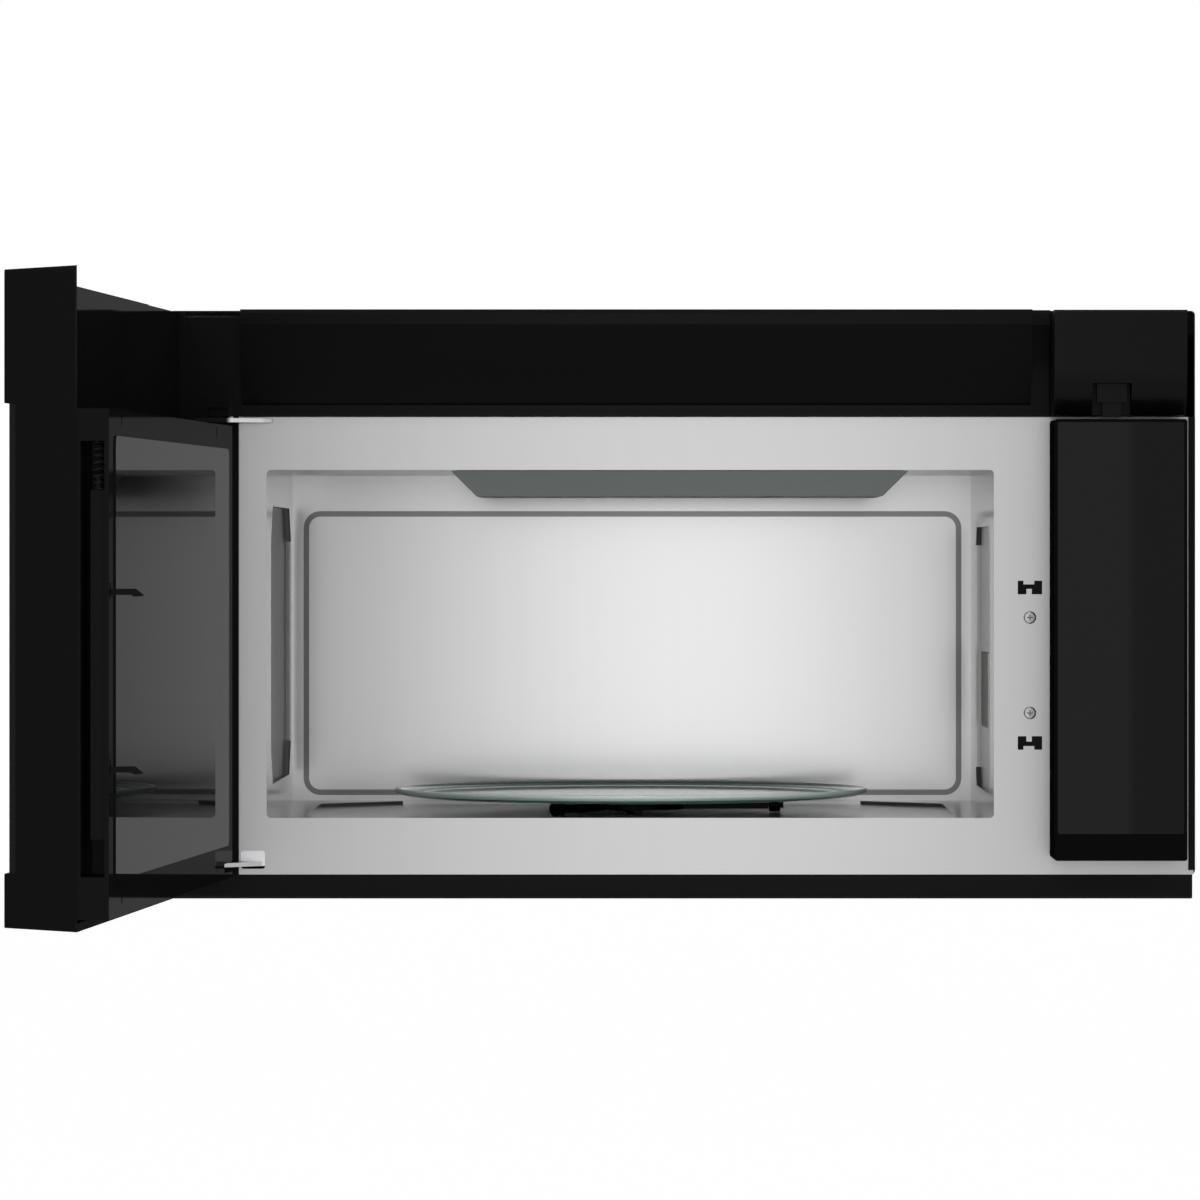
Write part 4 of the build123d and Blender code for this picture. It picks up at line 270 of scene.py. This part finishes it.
BLACK = (0.0032, 0.0032, 0.0034)
BY_SLOT = {
    "black_paint": finish("black_paint", BLACK, 0.36, specular=0.07, grain=0.06),
    "dark_paint": finish("dark_paint", (0.004, 0.004, 0.004), 0.5, specular=0.07, grain=0.06),
    "zinc_sheet": finish("zinc_sheet", (0.42, 0.43, 0.45), 0.42, metallic=0.9, tone=0.12, tone_scale=30,
                         grain=0.04),
    "cavity_enamel": finish("cavity_enamel", (0.33, 0.33, 0.33), 0.38, metallic=0.75, tone=0.012,
                            rough_spread=0.02, grain=0.015),
    "cover_grey": finish("cover_grey", (0.31, 0.34, 0.325), 0.5, specular=0.2, grain=0.03),
    "mica": finish("mica", (0.70, 0.69, 0.66), 0.6, tone=0.2, tone_scale=60, grain=0.1),
    "motor_steel": finish("motor_steel", (0.3, 0.3, 0.31), 0.5, metallic=0.8, tone=0.15, tone_scale=20),
    "bright_steel": finish("bright_steel", (0.46, 0.46, 0.47), 0.28, metallic=1.0, grain=0.03,
                           stretch=(0.1, 1, 1)),
    "black_plastic": finish("black_plastic", BLACK, 0.33, specular=0.07, grain=0.10, grain_scale=1400),
    "gloss_black": finish("gloss_black", (0.006, 0.006, 0.006), 0.2, specular=0.0, coat=0.08, grain=0.01),
    "gloss_panel": finish("gloss_panel", (0.006, 0.006, 0.007), 0.08, specular=0.0, coat=0.32,
                          coat_rough=0.015, grain=0.004),
    "black_glass": finish("black_glass", (0.005, 0.005, 0.006), 0.15, specular=0.0, coat=0.2, coat_rough=0.03,
                          grain=0.003),
    "clear_glass": finish("clear_glass", (0.80, 0.90, 0.86), 0.03, transmission=1.0, ior=1.46, tone=0.01,
                          rough_spread=0.0, grain=0.0),
    "pale_plastic": finish("pale_plastic", (0.62, 0.61, 0.58), 0.5, grain=0.08),
    "screen_steel": finish("screen_steel", (0.02, 0.02, 0.02), 0.5, specular=0.3),
    "circuit_board": finish("circuit_board", (0.02, 0.12, 0.05), 0.5, tone=0.2, tone_scale=80),
    "charcoal": finish("charcoal", (0.03, 0.03, 0.03), 0.9, tone=0.4, tone_scale=200, grain=0.5,
                       grain_scale=400),
    "aluminium_mesh": woven_mesh("aluminium_mesh"),
}
MATTE_SHELL = finish("matte_shell", (0.0070, 0.0070, 0.0072), 0.8, specular=0.02, grain=0.12,
                     grain_scale=1400)
MATTE_HOUSING = finish("matte_housing", (0.0050, 0.0050, 0.0052), 0.6, specular=0.0, grain=0.12,
                       grain_scale=1400)
SATIN_COWL = finish("satin_cowl", (0.0020, 0.0020, 0.0021), 0.24, specular=0.05, grain=0.05, grain_scale=1400)
GREY = (0.33, 0.33, 0.33)
TRAY_GLASS = tray_glass("tray_glass", (0.40, 0.55, 0.48), (0.78, 0.92, 0.86), TRAY_AXIS, TRAY_HIGHLIGHT_RINGS)
# Painted shade on the lining: dark in the back wall's groove, darker on the panels let into the side walls.
SATIN_LINING = shade_patched_sheet("satin_lining", GREY, 0.75, 0.17, (
    ("Y", GROOVE_SHADE_FROM, 1, (0.10, 0.10, 0.10), 0.75), ("X", LEFT_PANEL_SHADE_FROM, -1, (0.30, 0.30, 0.30), 0.22),
    ("X", RIGHT_PANEL_SHADE_FROM, 1, (0.26, 0.26, 0.26), 0.55)))
# The frame's one patch is a painted shadow of the door's edge beside the hinge.
FRAME_SHEET = shade_patched_sheet("frame_sheet", GREY, 0.75, 0.31,
                            (("X", FRAME_SHADOW_TO, -1, (0.008, 0.008, 0.008), 0.0),))
# Painted shade: the screws are darker below the top of the head, in the cross recess and down its rounded
# side.
SCREW_GREY = shade_patched_sheet("screw_grey", (0.30, 0.30, 0.30), 0.75, 0.34,
                           (("Y", FRAME_Y - SCREW_PROUD + 0.0004, 1, (0.10, 0.10, 0.10), 0.75),))
BLACK_WIRE = finish("black_wire", (0.010, 0.010, 0.010), 0.4, specular=0.2)
HINGE_STEEL = part_black_steel("hinge_steel", HINGE_BLACK_TO, HINGE_BLACK_ABOVE)
BY_NODE = {"upper_hinge": HINGE_STEEL, "cavity_shell": SATIN_LINING, "front_frame": FRAME_SHEET,
           "door_shell": MATTE_SHELL, "latch_spring": BLACK_WIRE, "latch_bracket": BLACK_WIRE,
           "control_housing": MATTE_HOUSING, "vent_cowl": SATIN_COWL,
           "roller_1": BY_SLOT["black_plastic"], "roller_2": BY_SLOT["black_plastic"],
           "roller_3": BY_SLOT["black_plastic"], "drive_hub": BY_SLOT["black_plastic"]}
slot_of = {entry["node"]: entry["material_slot"] for entry in frame["record"]["subparts"]}
for name, obj in nodes.items():
    mat = BY_NODE.get(name, BY_SLOT[slot_of[name]])
    if not obj.material_slots:
        obj.data.materials.append(mat)
    for held in obj.material_slots:
        held.material = mat


# ---- frame screws with their cross recess ----
def mesh_object(name, bm, mat, smooth=True):
    mesh = bpy.data.meshes.new(name)
    bm.normal_update()
    bm.to_mesh(mesh)
    bm.free()
    obj = bpy.data.objects.new(name, mesh)
    scene.collection.objects.link(obj)
    mesh.materials.append(mat)
    for face in mesh.polygons:
        face.use_smooth = smooth
    return obj


def revolved(bm, profile, centre, sides=40):
    """Turns (radius, y) points about the y axis through centre, closed at both ends."""
    rings = []
    for radius, y in profile:
        ring = []
        for i in range(sides):
            angle = 2 * math.pi * i / sides
            ring.append(bm.verts.new((centre[0] + radius * math.cos(angle), y,
                                      centre[1] + radius * math.sin(angle))))
        rings.append(ring)
    for a, b in zip(rings, rings[1:]):
        for i in range(sides):
            j = (i + 1) % sides
            bm.faces.new((a[i], a[j], b[j], b[i]))
    bm.faces.new(rings[0][::-1])
    bm.faces.new(rings[-1])


def cross_cutter(bm, centre, face, depth, arm, slot):
    """Two tapered wedges in a cross, from before face down to depth."""
    for across, along in ((slot / 2, arm), (arm, slot / 2)):
        top = [bm.verts.new((centre[0] + sx * across, face - 0.001, centre[1] + sz * along))
               for sx, sz in ((-1, -1), (1, -1), (1, 1), (-1, 1))]
        low = [bm.verts.new((centre[0] + sx * across * RECESS_TAPER, face + depth,
                             centre[1] + sz * along * RECESS_TAPER))
               for sx, sz in ((-1, -1), (1, -1), (1, 1), (-1, 1))]
        bm.faces.new(top[::-1])
        bm.faces.new(low)
        for i in range(4):
            j = (i + 1) % 4
            bm.faces.new((top[i], top[j], low[j], low[i]))


def cross_screws():
    """Two pan-head screws, each with a cross recess cut into its head."""
    heads = bmesh.new()
    cuts = bmesh.new()
    outer = FRAME_Y - SCREW_PROUD
    for z in SCREW_HEIGHTS:
        centre = (SCREW_X, z)
        edge = SCREW_PROUD - SCREW_LIP
        rim = [(SCREW_HEAD - edge + edge * math.cos(t), FRAME_Y - SCREW_LIP - edge * math.sin(t))
               for t in [math.radians(a) for a in (90, 70, 50, 30, 12, 0)]]
        profile = [(0.0004, outer), *rim, (SCREW_HEAD, FRAME_Y),
                   (SCREW_SHANK, FRAME_Y), (SCREW_SHANK, FRAME_Y + SCREW_LENGTH)]
        revolved(heads, profile, centre)
        cross_cutter(cuts, centre, outer, RECESS_DEPTH, RECESS_ARM, RECESS_SLOT)
    bmesh.ops.recalc_face_normals(heads, faces=heads.faces)
    bmesh.ops.recalc_face_normals(cuts, faces=cuts.faces)
    screws = mesh_object("cross_screws", heads, SCREW_GREY, smooth=False)
    cutter = mesh_object("cross_cutter", cuts, SCREW_GREY, smooth=False)
    cut = screws.modifiers.new("recess", "BOOLEAN")
    cut.operation = "DIFFERENCE"
    cut.solver = "EXACT"
    cut.use_self = True
    cut.object = cutter
    bpy.context.view_layer.update()
    shaped = bpy.data.meshes.new_from_object(screws.evaluated_get(bpy.context.evaluated_depsgraph_get()))
    screws.modifiers.clear()
    screws.data = shaped
    bpy.data.objects.remove(cutter)
    shaped.shade_smooth()
    shaped.set_sharp_from_angle(angle=SHARP_ANGLE)
    return screws


def turned_tray():
    """Glass tray with a raised and rolled rim, turned about its axis."""
    bm = bmesh.new()
    rings = []
    for radius, z in TRAY_PROFILE:
        if radius == 0:
            rings.append([bm.verts.new((*TRAY_AXIS, z / 1000))])
            continue
        ring = []
        for i in range(TRAY_SIDES):
            angle = 2 * math.pi * i / TRAY_SIDES
            ring.append(bm.verts.new((TRAY_AXIS[0] + radius / 1000 * math.cos(angle),
                                      TRAY_AXIS[1] + radius / 1000 * math.sin(angle), z / 1000)))
        rings.append(ring)
    for a, b in zip(rings, rings[1:]):
        for i in range(TRAY_SIDES):
            j = (i + 1) % TRAY_SIDES
            corners = [a[i], a[j], b[j], b[i]] if len(a) == len(b) else (
                [a[0], b[j], b[i]] if len(a) == 1 else [a[i], a[j], b[0]])
            bm.faces.new(corners)
    bmesh.ops.recalc_face_normals(bm, faces=bm.faces)
    return mesh_object("turned_tray", bm, TRAY_GLASS)


tray = turned_tray()
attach(tray, "tray")
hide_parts("glass_tray")
screws = cross_screws()
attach(screws, "chassis")
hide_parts("frame_screws")


# ---- floor, world, lamps and camera ----
def background_mix(nt, light_shader, view_shader, out):
    """Seen directly, in gloss or through glass: view_shader. Otherwise light_shader."""
    path = nt.nodes.new("ShaderNodeLightPath")
    seen = combined(nt, "MAXIMUM", path.outputs["Is Camera Ray"], path.outputs["Is Glossy Ray"])
    seen = combined(nt, "MAXIMUM", seen, path.outputs["Is Transmission Ray"])
    mix = nt.nodes.new("ShaderNodeMixShader")
    nt.links.new(seen, mix.inputs[0])
    nt.links.new(light_shader, mix.inputs[1])
    nt.links.new(view_shader, mix.inputs[2])
    nt.links.new(mix.outputs[0], out)


AMBIENT = 0.40
STRIP_POWER = 3.2          # watts for each metre of width: nested panels, brightest in the middle
world = bpy.data.worlds.new("studio")
scene.world = world
world.use_nodes = True
wt = world.node_tree
ambient = wt.nodes["Background"]
ambient.inputs["Color"].default_value = (1, 1, 1, 1)
ambient.inputs["Strength"].default_value = AMBIENT
white = wt.nodes.new("ShaderNodeBackground")
white.inputs["Color"].default_value = (1, 1, 1, 1)
white.inputs["Strength"].default_value = 1.0
background_mix(wt, ambient.outputs[0], white.outputs[0], wt.nodes["World Output"].inputs["Surface"])

FLOOR_Z = -HALF - 0.9
REACH = 30.0
floor_mesh = bpy.data.meshes.new("floor")
floor_mesh.from_pydata([(-REACH, -REACH, FLOOR_Z), (REACH, -REACH, FLOOR_Z), (REACH, REACH, FLOOR_Z),
                        (-REACH, REACH, FLOOR_Z)], [], [(0, 1, 2, 3)])
floor = bpy.data.objects.new("floor", floor_mesh)
scene.collection.objects.link(floor)
pale, ft, soft = new_material("pale_floor")
soft.inputs["Base Color"].default_value = (0.85, 0.85, 0.85, 1)
soft.inputs["Roughness"].default_value = 0.9
glow = ft.nodes.new("ShaderNodeEmission")
glow.inputs["Strength"].default_value = 0.6
add = ft.nodes.new("ShaderNodeAddShader")
ft.links.new(soft.outputs[0], add.inputs[0])
ft.links.new(glow.outputs[0], add.inputs[1])
background_mix(ft, soft.outputs[0], add.outputs[0], ft.nodes["Material Output"].inputs["Surface"])
floor.data.materials.append(pale)


def area_light(name, at, towards, size_x, size_y, power):
    light = bpy.data.lights.new(name, "AREA")
    light.shape = "RECTANGLE"
    light.size = size_x
    light.size_y = size_y
    light.energy = power
    obj = bpy.data.objects.new(name, light)
    scene.collection.objects.link(obj)
    obj.location = at
    obj.rotation_euler = (Vector(towards) - Vector(at)).to_track_quat("-Z", "Y").to_euler()
    obj.visible_camera = False


for step, width in enumerate((0.24, 0.44, 0.64, 0.90)):
    y = -2.6 + 0.01 * step
    area_light(f"strip_{step}", (0.022, y, 0.05), (0.022, 0, 0.03), width, 1.5, width * STRIP_POWER)
area_light("left_soft", (-2.6, -2.4, 1.6), (0, -0.3, 0), 1.6, 1.6, 14)
area_light("right_soft", (2.8, -2.2, 1.4), (0, -0.3, 0), 1.6, 1.6, 18)
area_light("top_strip", (0.03, -1.6, 2.4), (0.03, -0.4, 0.1), 0.5, 1.2, 14)

camera_data = bpy.data.cameras.new("camera")
camera = bpy.data.objects.new("camera", camera_data)
scene.collection.objects.link(camera)
camera.location = (-0.0222, FRAME_Y - CAMERA_DISTANCE, 0.035)
camera.rotation_euler = (math.radians(90), 0, 0)
camera_data.sensor_width = 36.0
camera_data.lens = FOCAL_LENGTH / PHOTO_SIZE * 36
camera_data.shift_x = -(VIEW_CENTRE[0] - PHOTO_SIZE / 2) / PHOTO_SIZE
camera_data.shift_y = -(PHOTO_SIZE / 2 - VIEW_CENTRE[1]) / PHOTO_SIZE
camera_data.clip_end = 100
scene.camera = camera

scene.view_settings.view_transform = "Standard"
